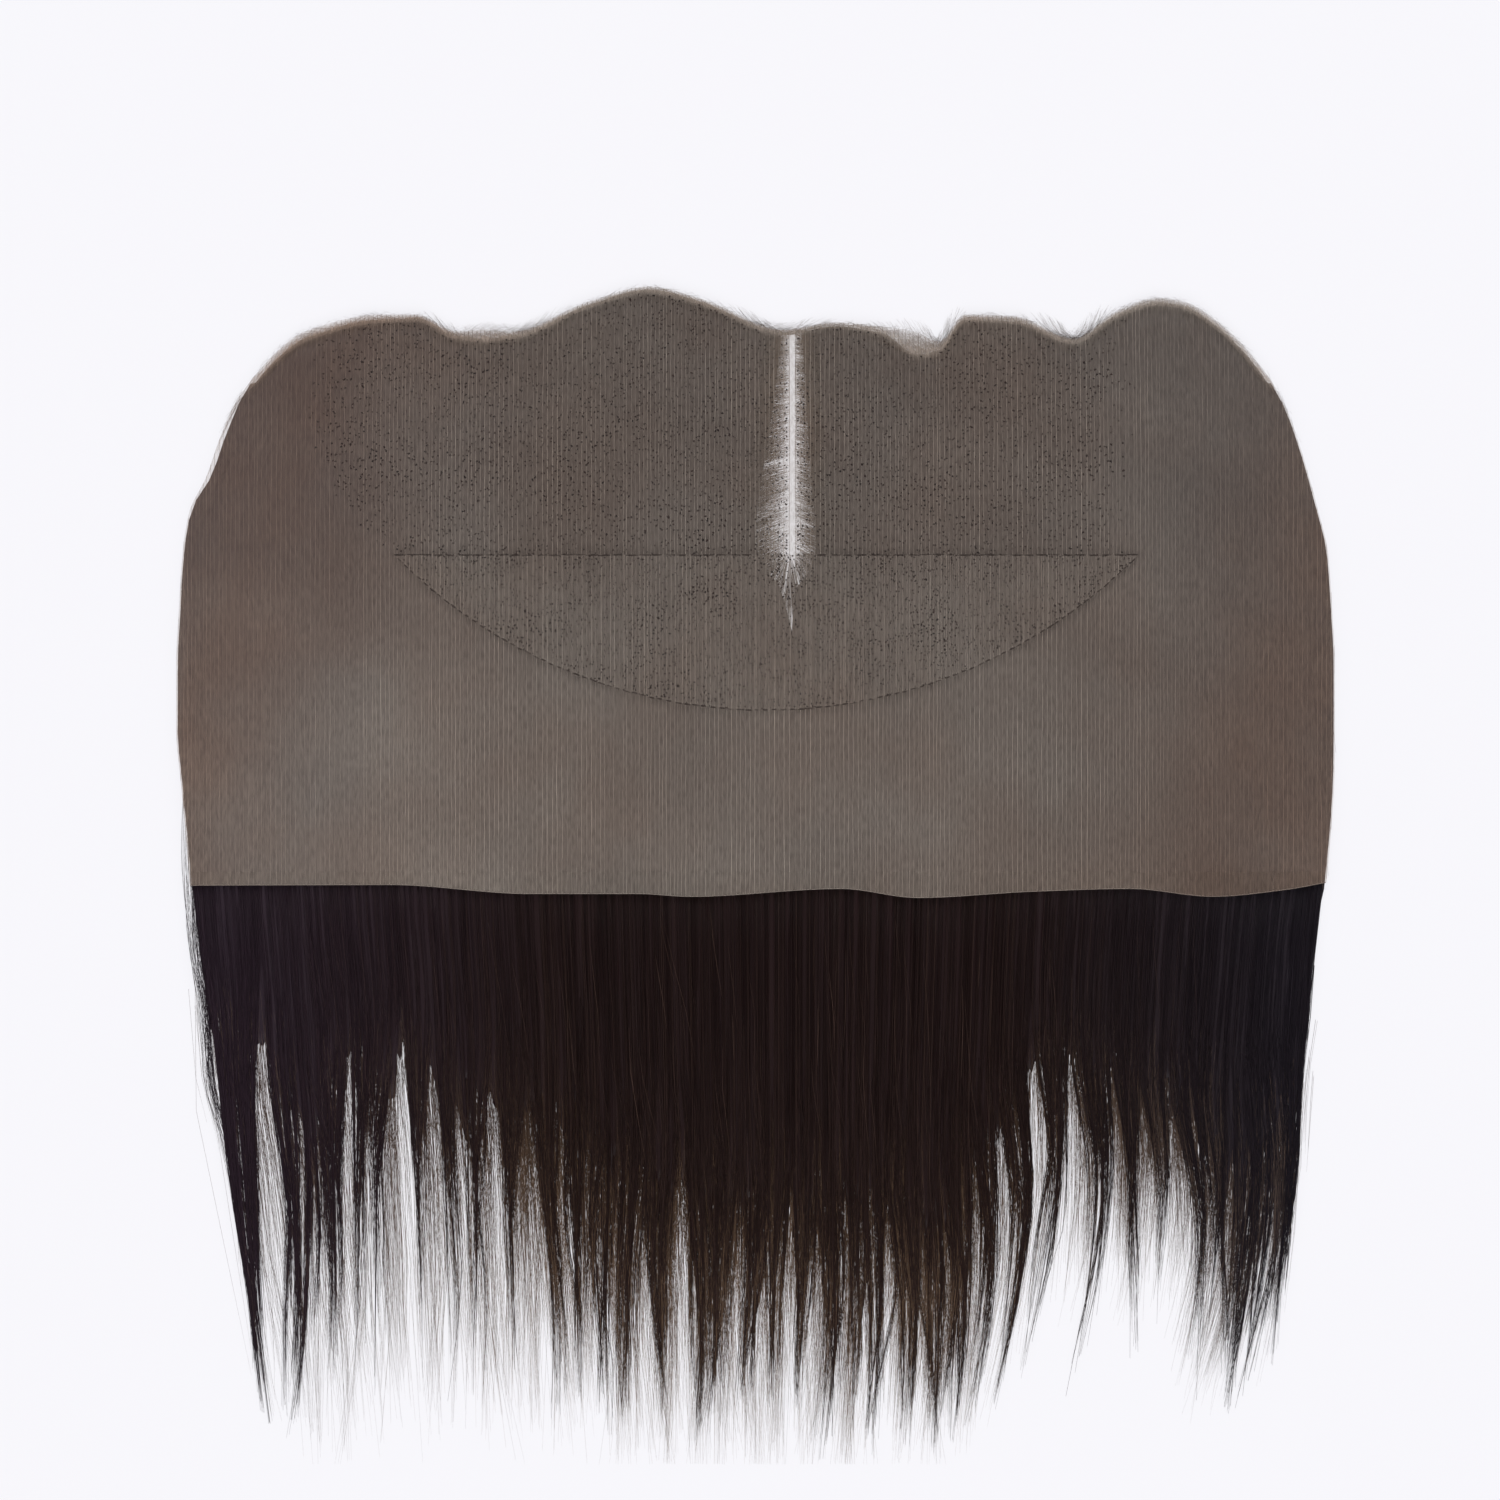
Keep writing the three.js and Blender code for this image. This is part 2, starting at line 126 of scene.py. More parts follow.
# %% [markdown]
# ## Light
# Hair is dark and glossy, and the net is pale and matte. Two wide soft boxes in front and behind light
# the net evenly, and their mirror images in the flat hair miss the camera, so the hair stays deep.
# A weaker pair at the sides draws a thin line of sheen along each strand.

# %% Soft boxes and sky
scene = bpy.context.scene
scene.view_settings.view_transform = "Standard"


def soft_box(name, place, size, watts):
    """A square light that faces the origin."""
    data = bpy.data.lights.new(name, "AREA")
    data.shape = "SQUARE"
    data.size = size
    data.energy = watts
    lamp = bpy.data.objects.new(name, data)
    lamp.location = place
    lamp.rotation_euler = (-lamp.location).to_track_quat("-Z", "Y").to_euler()
    bpy.context.collection.objects.link(lamp)


soft_box("soft_box_front", (0, -1.5, 1.5), 1.2, 30)
soft_box("soft_box_back", (0, 1.5, 1.5), 1.2, 30)
soft_box("soft_box_left", (-1.6, 0.1, 1.2), 0.8, 9)
soft_box("soft_box_right", (1.6, 0.1, 1.2), 0.8, 9)

world = bpy.data.worlds.new("sky")
world.use_nodes = True
scene.world = world
sky = world.node_tree.nodes["Background"]
sky.inputs["Color"].default_value = linear("#f6f7ff")
sky.inputs["Strength"].default_value = 0.4

# %% [markdown]
# ## Table
# The piece lies on a white table that is lit from below, like a light box for packing goods. Its glow
# takes the shadows away and shines through the parting and the thin ends of the hair.

# %% Light table
table_material, tree, out = new_material("lit_white_table")
matte = add_node(tree, "ShaderNodeBsdfDiffuse", {"Color": linear("#707072"), "Roughness": 1.0})
glow = add_node(tree, "ShaderNodeEmission", {"Color": linear("#f8f7fb"), "Strength": 0.8})
both = add_node(tree, "ShaderNodeAddShader", {0: matte.outputs[0], 1: glow.outputs[0]})
tree.links.new(both.outputs[0], out.inputs["Surface"])

table_half = 4.0
table_mesh = bpy.data.meshes.new("table")
table_mesh.from_pydata(
    [(x * table_half, y * table_half, -0.02 * mm) for x, y in ((-1, -1), (1, -1), (1, 1), (-1, 1))],
    [],
    [(0, 1, 2, 3)],
)
table_mesh.materials.append(table_material)
table = bpy.data.objects.new("table", table_mesh)
bpy.context.collection.objects.link(table)

# %% [markdown]
# ## The shape of the piece
# The net's outline, the hem's wave, the edge of the hair and the locks are read from short tables.
# Their lengths are shares of the net's width and depth and of the hair's fall, and the sizes come
# from the frame's boxes. A cubic that never overshoots runs through the rows of each table.

# %% Sizes
net_width = net_high[0] - net_low[0]
highest_front = 1.073
fall = 164 * mm
net_depth = (cad_box[1][1] - cad_box[0][1] - fall) / highest_front
hem_y = net_high[1] - net_depth * highest_front
seam_y = panel_high[1]
panel_width, panel_depth = panel_high[0] - panel_low[0], panel_high[1] - panel_low[1]
panel_x = (panel_high[0] + panel_low[0]) / 2
part_x = 10.4 * mm
print("net", round(net_width, 4), "x", round(net_depth, 4), "hem at", round(hem_y, 5))


def read_table(keys, values, at):
    """Smooth values between the rows of a table, without overshoot and level past its ends."""
    keys = np.asarray(keys, float)
    values = np.asarray(values, float)
    step = np.diff(keys)
    rise = np.diff(values) / step
    before, after = rise[:-1], rise[1:]
    same_way = before * after > 0
    total = np.where(same_way, before + after, 1.0)
    middle = np.where(same_way, 2 * before * after / total, 0.0)
    slope = np.concatenate([rise[:1], middle, rise[-1:]])
    place = np.clip(at, keys[0], keys[-1])
    low = np.clip(np.searchsorted(keys, place, side="right") - 1, 0, len(step) - 1)
    t = (place - keys[low]) / step[low]
    ahead = t * t * (3 - 2 * t)
    bend = t * (1 - t) ** 2 * slope[low] - t * t * (1 - t) * slope[low + 1]
    return values[low] * (1 - ahead) + values[low + 1] * ahead + bend * step[low]


def ease(value, low=0.0, high=1.0):
    """0 at low, 1 at high and smooth between."""
    t = np.clip((value - low) / (high - low), 0, 1)
    return t * t * (3 - 2 * t)


def mix(a, b, share):
    return a + (b - a) * share


# %% The net's outline
sides = {
    "up": [0, 0.1, 0.2, 0.28, 0.4, 0.5, 0.6, 0.67, 0.735, 0.8, 0.86, 0.913],
    "left": [
        -0.488, -0.492, -0.4965, -0.5, -0.5, -0.4977, -0.4945, -0.489, -0.474, -0.463, -0.4505, -0.433,
    ],
    "right": [
        0.492, 0.4965, 0.4995, 0.5, 0.5, 0.4975, 0.494, 0.486, 0.4775, 0.468, 0.457, 0.4425,
    ],
}
hairline = {
    "at": [
        0, 0.023, 0.05, 0.124, 0.16, 0.201, 0.226, 0.254, 0.327, 0.389, 0.441, 0.523, 0.571,
        0.619, 0.652, 0.676, 0.7, 0.75, 0.8085, 0.848, 0.892, 0.92, 0.949, 0.9735, 1,
    ],
    "up": [
        0.913, 0.958, 0.993, 1.023, 1.023, 0.993, 0.996, 0.993, 1.044, 1.073, 1.051, 0.996, 1.009,
        1.002, 0.992, 0.975, 1.023, 1.02, 0.98, 1.027, 1.053, 1.044, 1.012, 0.972, 0.913,
    ],
    "bare": [
        0.012, 0.013, 0.013, 0.01, 0.007, 0.01, 0.018, 0.009, 0.007, 0.007, 0.007, 0.006, 0.005,
        0.01, 0.038, 0.014, 0.008, 0.008, 0.006, 0.008, 0.009, 0.009, 0.009, 0.01, 0.01,
    ],
}
hem = {
    "at": [0, 0.177, 0.3, 0.396, 0.44, 0.573, 0.64, 0.74, 0.827, 0.9, 0.966, 1],
    "rise": [0.007, 0.009, -0.007, -0.007, -0.012, 0.002, -0.014, -0.003, 0.002, -0.012, 0, 0.012],
}
shoulder_up = sides["up"][-1]


def net_up(y):
    """How far up the net a place lies, as the share that the tables go by."""
    return (y - hem_y) / net_depth


def side_x(side, y):
    return net_width * read_table(sides["up"], sides[side], net_up(y))


def hairline_share(x):
    left, right = sides["left"][-1], sides["right"][-1]
    return (x / net_width - left) / (right - left)


def front_y(x):
    return hem_y + net_depth * read_table(hairline["at"], hairline["up"], hairline_share(x))


edge_hair_width = 0.3 * mm


def bare_width(x):
    """How deep the net is bare at the front, past the hair that lies right along its edge."""
    bare = net_depth * read_table(hairline["at"], hairline["bare"], hairline_share(x))
    return np.maximum(bare - edge_hair_width, 0)


def hair_front_y(x):
    return front_y(x) - bare_width(x)


def hem_line_y(x):
    left, right = sides["left"][0], sides["right"][0]
    share = (x / net_width - left) / (right - left)
    return hem_y + net_depth * read_table(hem["at"], hem["rise"], share)


# %% Heights of the hair and the net
net_roll = 45 * mm
bed_thickness, edge_thickness = 5.0 * mm, 1.5 * mm
net_over_hair = 0.5 * mm
net_thickness = 1.0 * mm
panel_over_net = 0.3 * mm


def fullness(x, y):
    """1 on the flat middle and 0 along the sides and the front, where the net rolls down."""
    from_side = np.minimum(x - side_x("left", y), side_x("right", y) - x)
    return ease(from_side, 0, net_roll) * ease(front_y(x) - y, 0, net_roll)


def net_z(x, y):
    """The middle of the net's layer."""
    hair_top = mix(edge_thickness, bed_thickness, fullness(x, y))
    return hair_top + net_over_hair + net_thickness / 2


def panel_z(x, y):
    """The middle of the panel's layer, on top of the net."""
    return net_z(x, y) + net_thickness / 2 + panel_over_net + (panel_high[2] - net_high[2]) / 2


# %% [markdown]
# ## Meshes from arrays
# A hairpiece is thousands of like things: threads, knots and hairs. Each kind is worked out as numpy
# arrays and written as one joined mesh. A thread or a hair is a tube of three sides, because no more
# can be seen of something so thin. Each one keeps a tone of its own, which its material reads.


def mesh_piece(name, material, points, quads, triangles=(), tones=None):
    """A smooth piece from arrays of points and faces, with one tone for each point."""
    points = np.asarray(points, np.float32).reshape(-1, 3)
    quads = np.asarray(quads, np.int32).reshape(-1, 4)
    triangles = np.asarray(triangles, np.int32).reshape(-1, 3)
    corners = np.concatenate([quads.ravel(), triangles.ravel()])
    quad_starts = np.arange(len(quads)) * 4
    triangle_starts = len(quads) * 4 + np.arange(len(triangles)) * 3
    starts = np.concatenate([quad_starts, triangle_starts]).astype(np.int32)
    mesh = bpy.data.meshes.new(name)
    mesh.vertices.add(len(points))
    mesh.vertices.foreach_set("co", points.ravel())
    mesh.loops.add(len(corners))
    mesh.loops.foreach_set("vertex_index", corners)
    mesh.polygons.add(len(starts))
    mesh.polygons.foreach_set("loop_start", starts)
    mesh.update(calc_edges=True)
    if tones is not None:
        layer = mesh.attributes.new("tone", "FLOAT", "POINT")
        layer.data.foreach_set("value", np.asarray(tones, np.float32).ravel())
    mesh.shade_smooth()
    mesh.materials.append(material)
    piece = bpy.data.objects.new(name, mesh)
    bpy.context.collection.objects.link(piece)
    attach(piece, "root")
    print(name, "triangles", 2 * len(quads) + len(triangles))
    return piece


def tube_piece(name, material, slot, paths, radii, tones):
    """A piece of tubes."""
    points, quads, ends, point_tones = tubes(paths, radii, tones)
    return mesh_piece(name, material, points, quads, ends, point_tones)


def tubes(paths, radii, tones):
    """Closed tubes of three sides along paths, an array of tubes by points by x, y and z.

    tones holds one value for each tube, or one for each point of each tube.
    """
    count, steps, _ = paths.shape
    along = np.gradient(paths, axis=1)
    along /= np.linalg.norm(along, axis=2, keepdims=True) + 1e-12
    across = np.stack([along[..., 1], -along[..., 0], np.zeros((count, steps))], axis=2)
    across /= np.linalg.norm(across, axis=2, keepdims=True) + 1e-12
    above = np.cross(across, along)
    rings = []
    for turn in (90, 210, 330):
        sideways = across * (radii * math.cos(math.radians(turn)))[..., None]
        upwards = above * (radii * math.sin(math.radians(turn)))[..., None]
        rings.append(paths + sideways + upwards)
    points = np.stack(rings, axis=2).reshape(-1, 3)
    index = np.arange(count * steps * 3).reshape(count, steps, 3)
    quads = []
    for corner in range(3):
        after = (corner + 1) % 3
        a, b = index[:, :-1, corner], index[:, :-1, after]
        c, d = index[:, 1:, after], index[:, 1:, corner]
        quads.append(np.stack([a, b, c, d], axis=2).reshape(-1, 4))
    ends = np.concatenate([index[:, 0, ::-1], index[:, -1, :]])
    if tones.ndim == 1:
        tones = tones[:, None]
    point_tones = np.repeat(np.broadcast_to(tones, (count, steps)).ravel(), 3)
    return points, np.concatenate(quads), ends, point_tones


def sheet_grid(columns, rows):
    """The shares across and up of a grid's points, and its quads."""
    across, up = np.meshgrid(np.linspace(0, 1, columns + 1), np.linspace(0, 1, rows + 1))
    index = np.arange((columns + 1) * (rows + 1)).reshape(rows + 1, columns + 1)
    quads = np.stack([index[:-1, :-1], index[:-1, 1:], index[1:, 1:], index[1:, :-1]], axis=2)
    return across, up, quads.reshape(-1, 4)


def slow_waves(rng, size, x, y, count=6):
    """A smooth random field of about -1 to 1, from a few sine waves of about one size."""
    total = 0
    for _ in range(count):
        angle, phase = rng.uniform(0, 2 * math.pi, 2)
        wave = 2 * math.pi / (size * rng.uniform(0.6, 1.6))
        total = total + np.sin(wave * (x * math.cos(angle) + y * math.sin(angle)) + phase)
    return total / math.sqrt(count)


# %% [markdown]
# ## Swiss lace
# The base is Swiss lace, a warp-knitted polyester net as fine as a stocking. Its wales run from the
# hairline to the hem about a millimetre apart, and much finer filaments zigzag between them. Polyester
# yarn scatters light, so the net is matte. The wales are real threads here. The filaments between them
# are finer than a thread of the render, so they are one see-through film with the weave in its alpha.

# %% Shading helpers
def map_range(tree, value, low, high, to_low=0.0, to_high=1.0):
    """A value taken from one range to another and kept inside it."""
    ranges = {"Value": value, "From Min": low, "From Max": high, "To Min": to_low, "To Max": to_high}
    return add_node(tree, "ShaderNodeMapRange", ranges).outputs[0]


def mix_colours(tree, share, first, second):
    """The colour at a share of the way from the first to the second."""
    inputs = {0: share, 6: first, 7: second}
    return add_node(tree, "ShaderNodeMix", inputs, data_type="RGBA").outputs[2]


def mapping(tree, place, **settings):
    """A place that is moved, turned or scaled."""
    inputs = {"Vector": place, **{name.capitalize(): value for name, value in settings.items()}}
    return add_node(tree, "ShaderNodeMapping", inputs).outputs[0]


def streaks_along_y(tree, place, width, length):
    """Noise in streaks as wide and as long as given."""
    streaks = mapping(tree, place, scale=(1 / width, 1 / length, 1 / width))
    return add_node(tree, "ShaderNodeTexNoise", {"Vector": streaks, "Scale": 1.0}).outputs[0]


def object_place(tree):
    return add_node(tree, "ShaderNodeTexCoord").outputs["Object"]


def own_tone(tree):
    """The tone that each thread or hair carries."""
    return add_node(tree, "ShaderNodeAttribute", attribute_name="tone").outputs["Fac"]


def across_piece(tree, place):
    return add_node(tree, "ShaderNodeSeparateXYZ", {0: place}).outputs["X"]


# %% Net materials
patch_size = 45 * mm
filament_width, filament_length = 0.6 * mm, 2.2 * mm
warm_turn, warm_shift = math.radians(24), 28 * mm
warm_from, warm_to = 95 * mm, 140 * mm
yarn_surface = {"Roughness": 0.8, "IOR": 1.5, "Specular IOR Level": 0.2}


def yarn_colour(tree, place, yarn, warm):
    """The yarn's colour, warmer at the net's upper left and lower right and in slow patches."""
    noise = {"Vector": place, "Scale": 1 / patch_size, "Detail": 3.0}
    patches = add_node(tree, "ShaderNodeTexNoise", noise).outputs[0]
    turned = mapping(tree, place, location=(warm_shift, 0, 0), rotation=(0, 0, warm_turn))
    out_by = add_node(tree, "ShaderNodeMath", {0: across_piece(tree, turned)}, operation="ABSOLUTE")
    outer = map_range(tree, out_by.outputs[0], warm_from, warm_to, to_high=0.75)
    drift = map_range(tree, patches, 0.4, 0.65, to_high=0.35)
    share = add_node(tree, "ShaderNodeMath", {0: outer, 1: drift}, operation="ADD", use_clamp=True)
    return mix_colours(tree, share.outputs[0], linear(yarn), linear(warm))


def film_material(name, yarn, warm):
    """Filaments too fine to draw one by one: a film whose tone is how much of it is yarn."""
    material, tree, out = new_material(name)
    place = object_place(tree)
    weave = streaks_along_y(tree, place, filament_width, filament_length)
    swing = map_range(tree, weave, 0.3, 0.7, 0.75, 1.25)
    alpha = add_node(tree, "ShaderNodeMath", {0: own_tone(tree), 1: swing}, operation="MULTIPLY")
    colour = yarn_colour(tree, place, yarn, warm)
    inputs = {"Base Color": colour, "Alpha": alpha.outputs[0], **yarn_surface}
    film = add_node(tree, "ShaderNodeBsdfPrincipled", inputs)
    tree.links.new(film.outputs[0], out.inputs["Surface"])
    return material


def yarn_material(name, yarn, warm, dark):
    """Spun polyester yarn: matte, and each wale a little lighter or darker than the next."""
    material, tree, out = new_material(name)
    colour = yarn_colour(tree, object_place(tree), yarn, warm)
    shade = mix_colours(tree, own_tone(tree), colour, linear(dark))
    cloth = add_node(tree, "ShaderNodeBsdfPrincipled", {"Base Color": shade, **yarn_surface})
    tree.links.new(cloth.outputs[0], out.inputs["Surface"])
    return material


lace_film = film_material("swiss_lace_filaments", "#867c73", "#7f6b5e")
lace_yarn = yarn_material("swiss_lace_wales", "#91877e", "#867366", "#635a54")

# %% The net's film
net_columns, net_rows, front_rows = 170, 64, 1.5


def net_side(side, row):
    """One side of the net as a function of a share, up from a row of the hem's table."""

    def curve(up):
        y = hem_y + net_depth * mix(hem["rise"][row], shoulder_up, up)
        return np.array([side_x(side, y), y])

    return curve


def net_end(height, row):
    """The hem or the front as a function of a share, between the sides at a row of their table."""

    def curve(across):
        x = net_width * mix(sides["left"][row], sides["right"][row], across)
        return np.array([x, height(x)])

    return curve


def inside_edges(bottom, top, left, right, across, up):
    """Points inside four edge curves, each a function of a share: the edges are kept exactly."""
    point = bottom(across) * (1 - up) + top(across) * up
    point = point + left(up) * (1 - across) + right(up) * across
    for curve, end, share in (
        (bottom, 0.0, (1 - across) * (1 - up)),
        (bottom, 1.0, across * (1 - up)),
        (top, 0.0, (1 - across) * up),
        (top, 1.0, across * up),
    ):
        point = point - curve(np.array(end)).reshape(2, 1, 1) * share
    return point


def side_blur(x, y):
    """1 at the net's two ends, where the wales lie too flat to tell apart."""
    return ease(np.abs(x) + 7 * mm * np.sin(y / (17 * mm) + 1), 92 * mm, 132 * mm)


haze_thin, haze_thick = 0.12, 0.7


def haze_cover(x, y):
    """The cover past the hair's edge, where the net bunches up and thins out to its own edge."""
    inwards = np.clip(front_y(x) - y, 0, None) / np.maximum(bare_width(x), 0.1 * mm)
    return mix(haze_thin, haze_thick, np.clip(inwards, 0, 1) ** 0.7)


def past_edge(x, y):
    """1 where the net is bare past the hair, and 0 from a little inside the hair's edge."""
    bare = bare_width(x)
    return (1 - ease(front_y(x) - y - bare, 0, 2 * mm)) * ease(bare, 0, 1 * mm)


film_cover, film_cover_ends = 0.385, 0.37
pull_size, pull_share, pull_seed = 34 * mm, 0.045, 21
net_tension = {
    "up": [0, 0.25, 0.48, 0.62, 1.05],
    "left": [1.12, 1.06, 0.9, 0.76, 0.68],
    "middle": [0.94, 0.9, 0.86, 0.7, 0.63],
    "right": [0.86, 0.82, 0.79, 0.73, 0.66],
}


def net_closeness(x, y):
    """How close the yarn lies: the net is pulled wider in some places than in others."""
    left, middle, right = (
        read_table(net_tension["up"], net_tension[part], net_up(y)) for part in ("left", "middle", "right")
    )
    pulls = 1 + pull_share * slow_waves(np.random.default_rng(pull_seed), pull_size, x, y)
    left_half = mix(left, middle, ease(x, -110 * mm, -30 * mm))
    return pulls * mix(left_half, right, ease(x, 40 * mm, 110 * mm))


across, up, quads = sheet_grid(net_columns, net_rows)
up = 1 - (1 - up) ** front_rows
net_x, net_y = inside_edges(
    net_end(hem_line_y, 0), net_end(front_y, -1), net_side("left", 0), net_side("right", -1), across, up
)
cover = mix(film_cover, film_cover_ends, side_blur(net_x, net_y)) * net_closeness(net_x, net_y)
# The net is creased along the parting, where its yarn lies a little closer.
crease_cover, crease_inner, crease_outer, crease_tail = 0.13, 1 * mm, 3.5 * mm, 10 * mm
crease = 1 - ease(np.abs(net_x - part_x), crease_inner, crease_outer)
cover = cover + crease_cover * crease * ease(net_y, seam_y - crease_tail, seam_y)
lace_net = mesh_piece(
    "lace_net",
    lace_film,
    np.stack([net_x, net_y, net_z(net_x, net_y)], axis=-1),
    quads,
    tones=mix(cover, haze_cover(net_x, net_y), past_edge(net_x, net_y)),
)
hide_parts("lace_base")

# %% [markdown]
# ## Wales
# The wales stand straight up and down, so each one keeps its x and runs from the hem's height to the
# hairline's. They are spaced so that the parting falls between two of them.

# %% The net's wales
wale_pitch = 1.25 * mm
wale_radius, wale_radius_ends = 0.11 * mm, 0.055 * mm
wale_points = 25
rng = np.random.default_rng(3)


def outline_span(x):
    """The lowest and highest y of the net at each x."""
    y = np.linspace(hem_y - 0.02 * net_depth, hem_y + shoulder_up * net_depth, 600)
    low = np.where(np.abs(x) < 0.487 * net_width, hem_line_y(x), 0.0)
    high = front_y(x)
    left, right = side_x("left", y), side_x("right", y)
    share = hairline_share(x)
    for i in np.flatnonzero((share < 0) | (share > 1) | (low == 0)):
        inside = y[(left <= x[i]) & (right >= x[i])]
        if low[i] == 0:
            low[i] = inside[0]
        if share[i] < 0 or share[i] > 1:
            high[i] = inside[-1]
    return np.maximum(low, hem_line_y(x)), high


wale_count = int(net_width / wale_pitch)
wale_x = (np.arange(-wale_count, wale_count) + 0.5) * wale_pitch
wale_x = part_x + wale_x + 1.5 * mm * np.sin(wale_x / (11 * mm)) + 0.15 * mm * np.sign(wale_x)
wale_x = wale_x + rng.normal(0, 0.1, len(wale_x)) * mm
wale_x = wale_x[np.abs(wale_x) < 0.4985 * net_width]
low, high = outline_span(wale_x)
share = np.linspace(0, 1, wale_points)
y = low[:, None] + (high - low)[:, None] * share
x = wale_x[:, None] + 0.1 * mm * slow_waves(rng, 18 * mm, wale_x[:, None] * 7, y)
x = np.clip(x, side_x("left", y), side_x("right", y))
firmness = 1 + 0.16 * slow_waves(rng, 60 * mm, x, y) + 0.22 * slow_waves(rng, 12 * mm, x, y)
radii = mix(wale_radius, wale_radius_ends, side_blur(x, y)) * firmness * net_closeness(x, y)
tones = np.clip(rng.normal(0.35, 0.2, len(wale_x)), 0, 1)
paths = np.stack([x, y, net_z(x, y)], axis=2)
tube_piece("lace_wales", lace_yarn, "lace_net", paths, radii, tones)

# %% [markdown]
# ## Parting panel
# Under the seam lies a second, lens-shaped layer of the same net. Its top edge is the straight seam
# and its lower edge an arc.

# %% The panel's film and wales
arc_radius = ((panel_width / 2) ** 2 + panel_depth**2) / (2 * panel_depth)
panel_columns, panel_rows = 110, 22
tiny = 0.004


def arc_y(x):
    return seam_y - panel_depth + arc_radius - np.sqrt(arc_radius**2 - (x - panel_x) ** 2)


across, up, quads = sheet_grid(panel_columns, panel_rows)
x = panel_x + panel_width * (mix(tiny, 1 - tiny, across) - 0.5)
y = mix(arc_y(x), seam_y, up)
panel_net = mesh_piece(
    "panel_net",
    lace_film,
    np.stack([x, y, panel_z(x, y)], axis=-1),
    quads,
    tones=np.full(x.size, 0.12),
)
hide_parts("parting_panel")

panel_wale_radius, panel_wale_shift, panel_wale_points = 0.09 * mm, 0.3 * mm, 12
panel_inside = 0.49 * panel_width
wale_x = wale_x[np.abs(wale_x - panel_x) < panel_inside] + panel_wale_shift
share = np.linspace(0, 1, panel_wale_points)
y = mix(arc_y(wale_x)[:, None], seam_y, share)
x = wale_x[:, None] + 0.05 * mm * slow_waves(rng, 25 * mm, wale_x[:, None] * 7, y)
tones = np.clip(rng.normal(0.5, 0.25, len(wale_x)), 0, 1)
radii = np.full(x.shape, panel_wale_radius)
paths = np.stack([x, y, panel_z(x, y)], axis=2)
tube_piece("panel_wales", lace_yarn, "panel_net", paths, radii, tones)

# %% [markdown]
# ## Knots and stitches
# Every hair is tied round a thread of the net, and from the scalp side the knots show as dark specks.
# They are close in the panel and in the zone before it. A knot here is a small squashed double
# pyramid. The seam is a broken line of dark thread, and the arc is a row of short stitches.

# %% Knotted zone
knotted = {
    "up": [0.55, 0.593, 0.671, 0.767, 0.877, 0.95, 1.0],
    "left": [-0.3, -0.31, -0.343, -0.371, -0.378, -0.371, -0.37],
}
knotted_right, knotted_fade = 0.33 * net_width, 16 * mm
knotted_soft, knotted_margin = 5 * mm, 1 * mm


def knot_share(x, y):
    """How much of a place is knotted, from 0 to 1."""
    left = net_width * read_table(knotted["up"], knotted["left"], net_up(y))
    zone = ease(x, left - knotted_soft, left + knotted_soft)
    zone = zone * (1 - ease(x, knotted_right - knotted_fade, knotted_right))
    zone = zone * (y > seam_y) * (y < hair_front_y(x) - knotted_margin)
    inside = np.abs(x - panel_x) < panel_inside
    lens = inside * (y <= seam_y) * (y > arc_y(np.where(inside, x, panel_x)))
    return np.maximum(zone, lens)


# %% Knots
knot_pitch_panel, knot_pitch_zone = 1.15 * mm, 1.4 * mm
knot_size_panel, knot_size_zone = 0.31 * mm, 0.32 * mm
knot_free_half = 1.6 * mm
hair_dark = "#241613"
knot_material = yarn_material("knotted_hair", hair_dark, hair_dark, "#15100f")


def knot_places(pitch, low_y, high_y):
    """Jittered places of a grid where the net is knotted."""
    columns = np.arange(-0.4 * net_width, 0.4 * net_width, pitch)
    rows = np.arange(low_y, high_y, pitch)
    x, y = np.meshgrid(columns, rows)
    x = x + (np.arange(len(rows)) % 2)[:, None] * pitch / 2
    x = (x + rng.normal(0, 0.26 * pitch, x.shape)).ravel()
    y = (y + rng.normal(0, 0.26 * pitch, y.shape)).ravel()
    keep = rng.random(x.size) < knot_share(x, y) * (0.7 + 0.3 * slow_waves(rng, 6 * mm, x, y))
    return x[keep], y[keep]


def knots(x, y, z, size):
    """Double pyramids with a square middle, each turned and sized by chance."""
    count = len(x)
    turn = rng.uniform(0, math.pi, count)
    size = size * (1 + 0.12 * slow_waves(rng, 30 * mm, x, y))
    long, wide = size * rng.uniform(0.7, 1.5, count), size * rng.uniform(0.5, 0.9, count)
    middle = np.stack([x, y, z], axis=1)
    along = np.stack([np.cos(turn), np.sin(turn), 0 * turn], axis=1)
    aside = np.stack([-np.sin(turn), np.cos(turn), 0 * turn], axis=1)
    upward = np.array([0, 0, 0.5]) * size[:, None]
    corners = [
        middle + along * long[:, None],
        middle + aside * wide[:, None],
        middle - along * long[:, None],
        middle - aside * wide[:, None],
        middle + upward,
        middle - upward,
    ]
    points = np.stack(corners, axis=1).reshape(-1, 3)
    start = np.arange(count)[:, None] * 6
    faces = [start + np.array([[i, (i + 1) % 4, 4]]) for i in range(4)]
    faces += [start + np.array([[(i + 1) % 4, i, 5]]) for i in range(4)]
    return points, np.concatenate(faces), np.repeat(rng.random(count), 6)


x, y = knot_places(knot_pitch_panel, seam_y - panel_depth, seam_y)
points, faces, tones = knots(x, y, panel_z(x, y), knot_size_panel)
mesh_piece("panel_knots", knot_material, points, (), faces, tones)
x, y = knot_places(knot_pitch_zone, seam_y, net_high[1])
# No knot lies on the bright line of the parting.
x = part_x + np.sign(x - part_x) * np.maximum(np.abs(x - part_x), knot_free_half)
points, faces, tones = knots(x, y, net_z(x, y), knot_size_zone)
mesh_piece("lace_knots", knot_material, points, (), faces, tones)

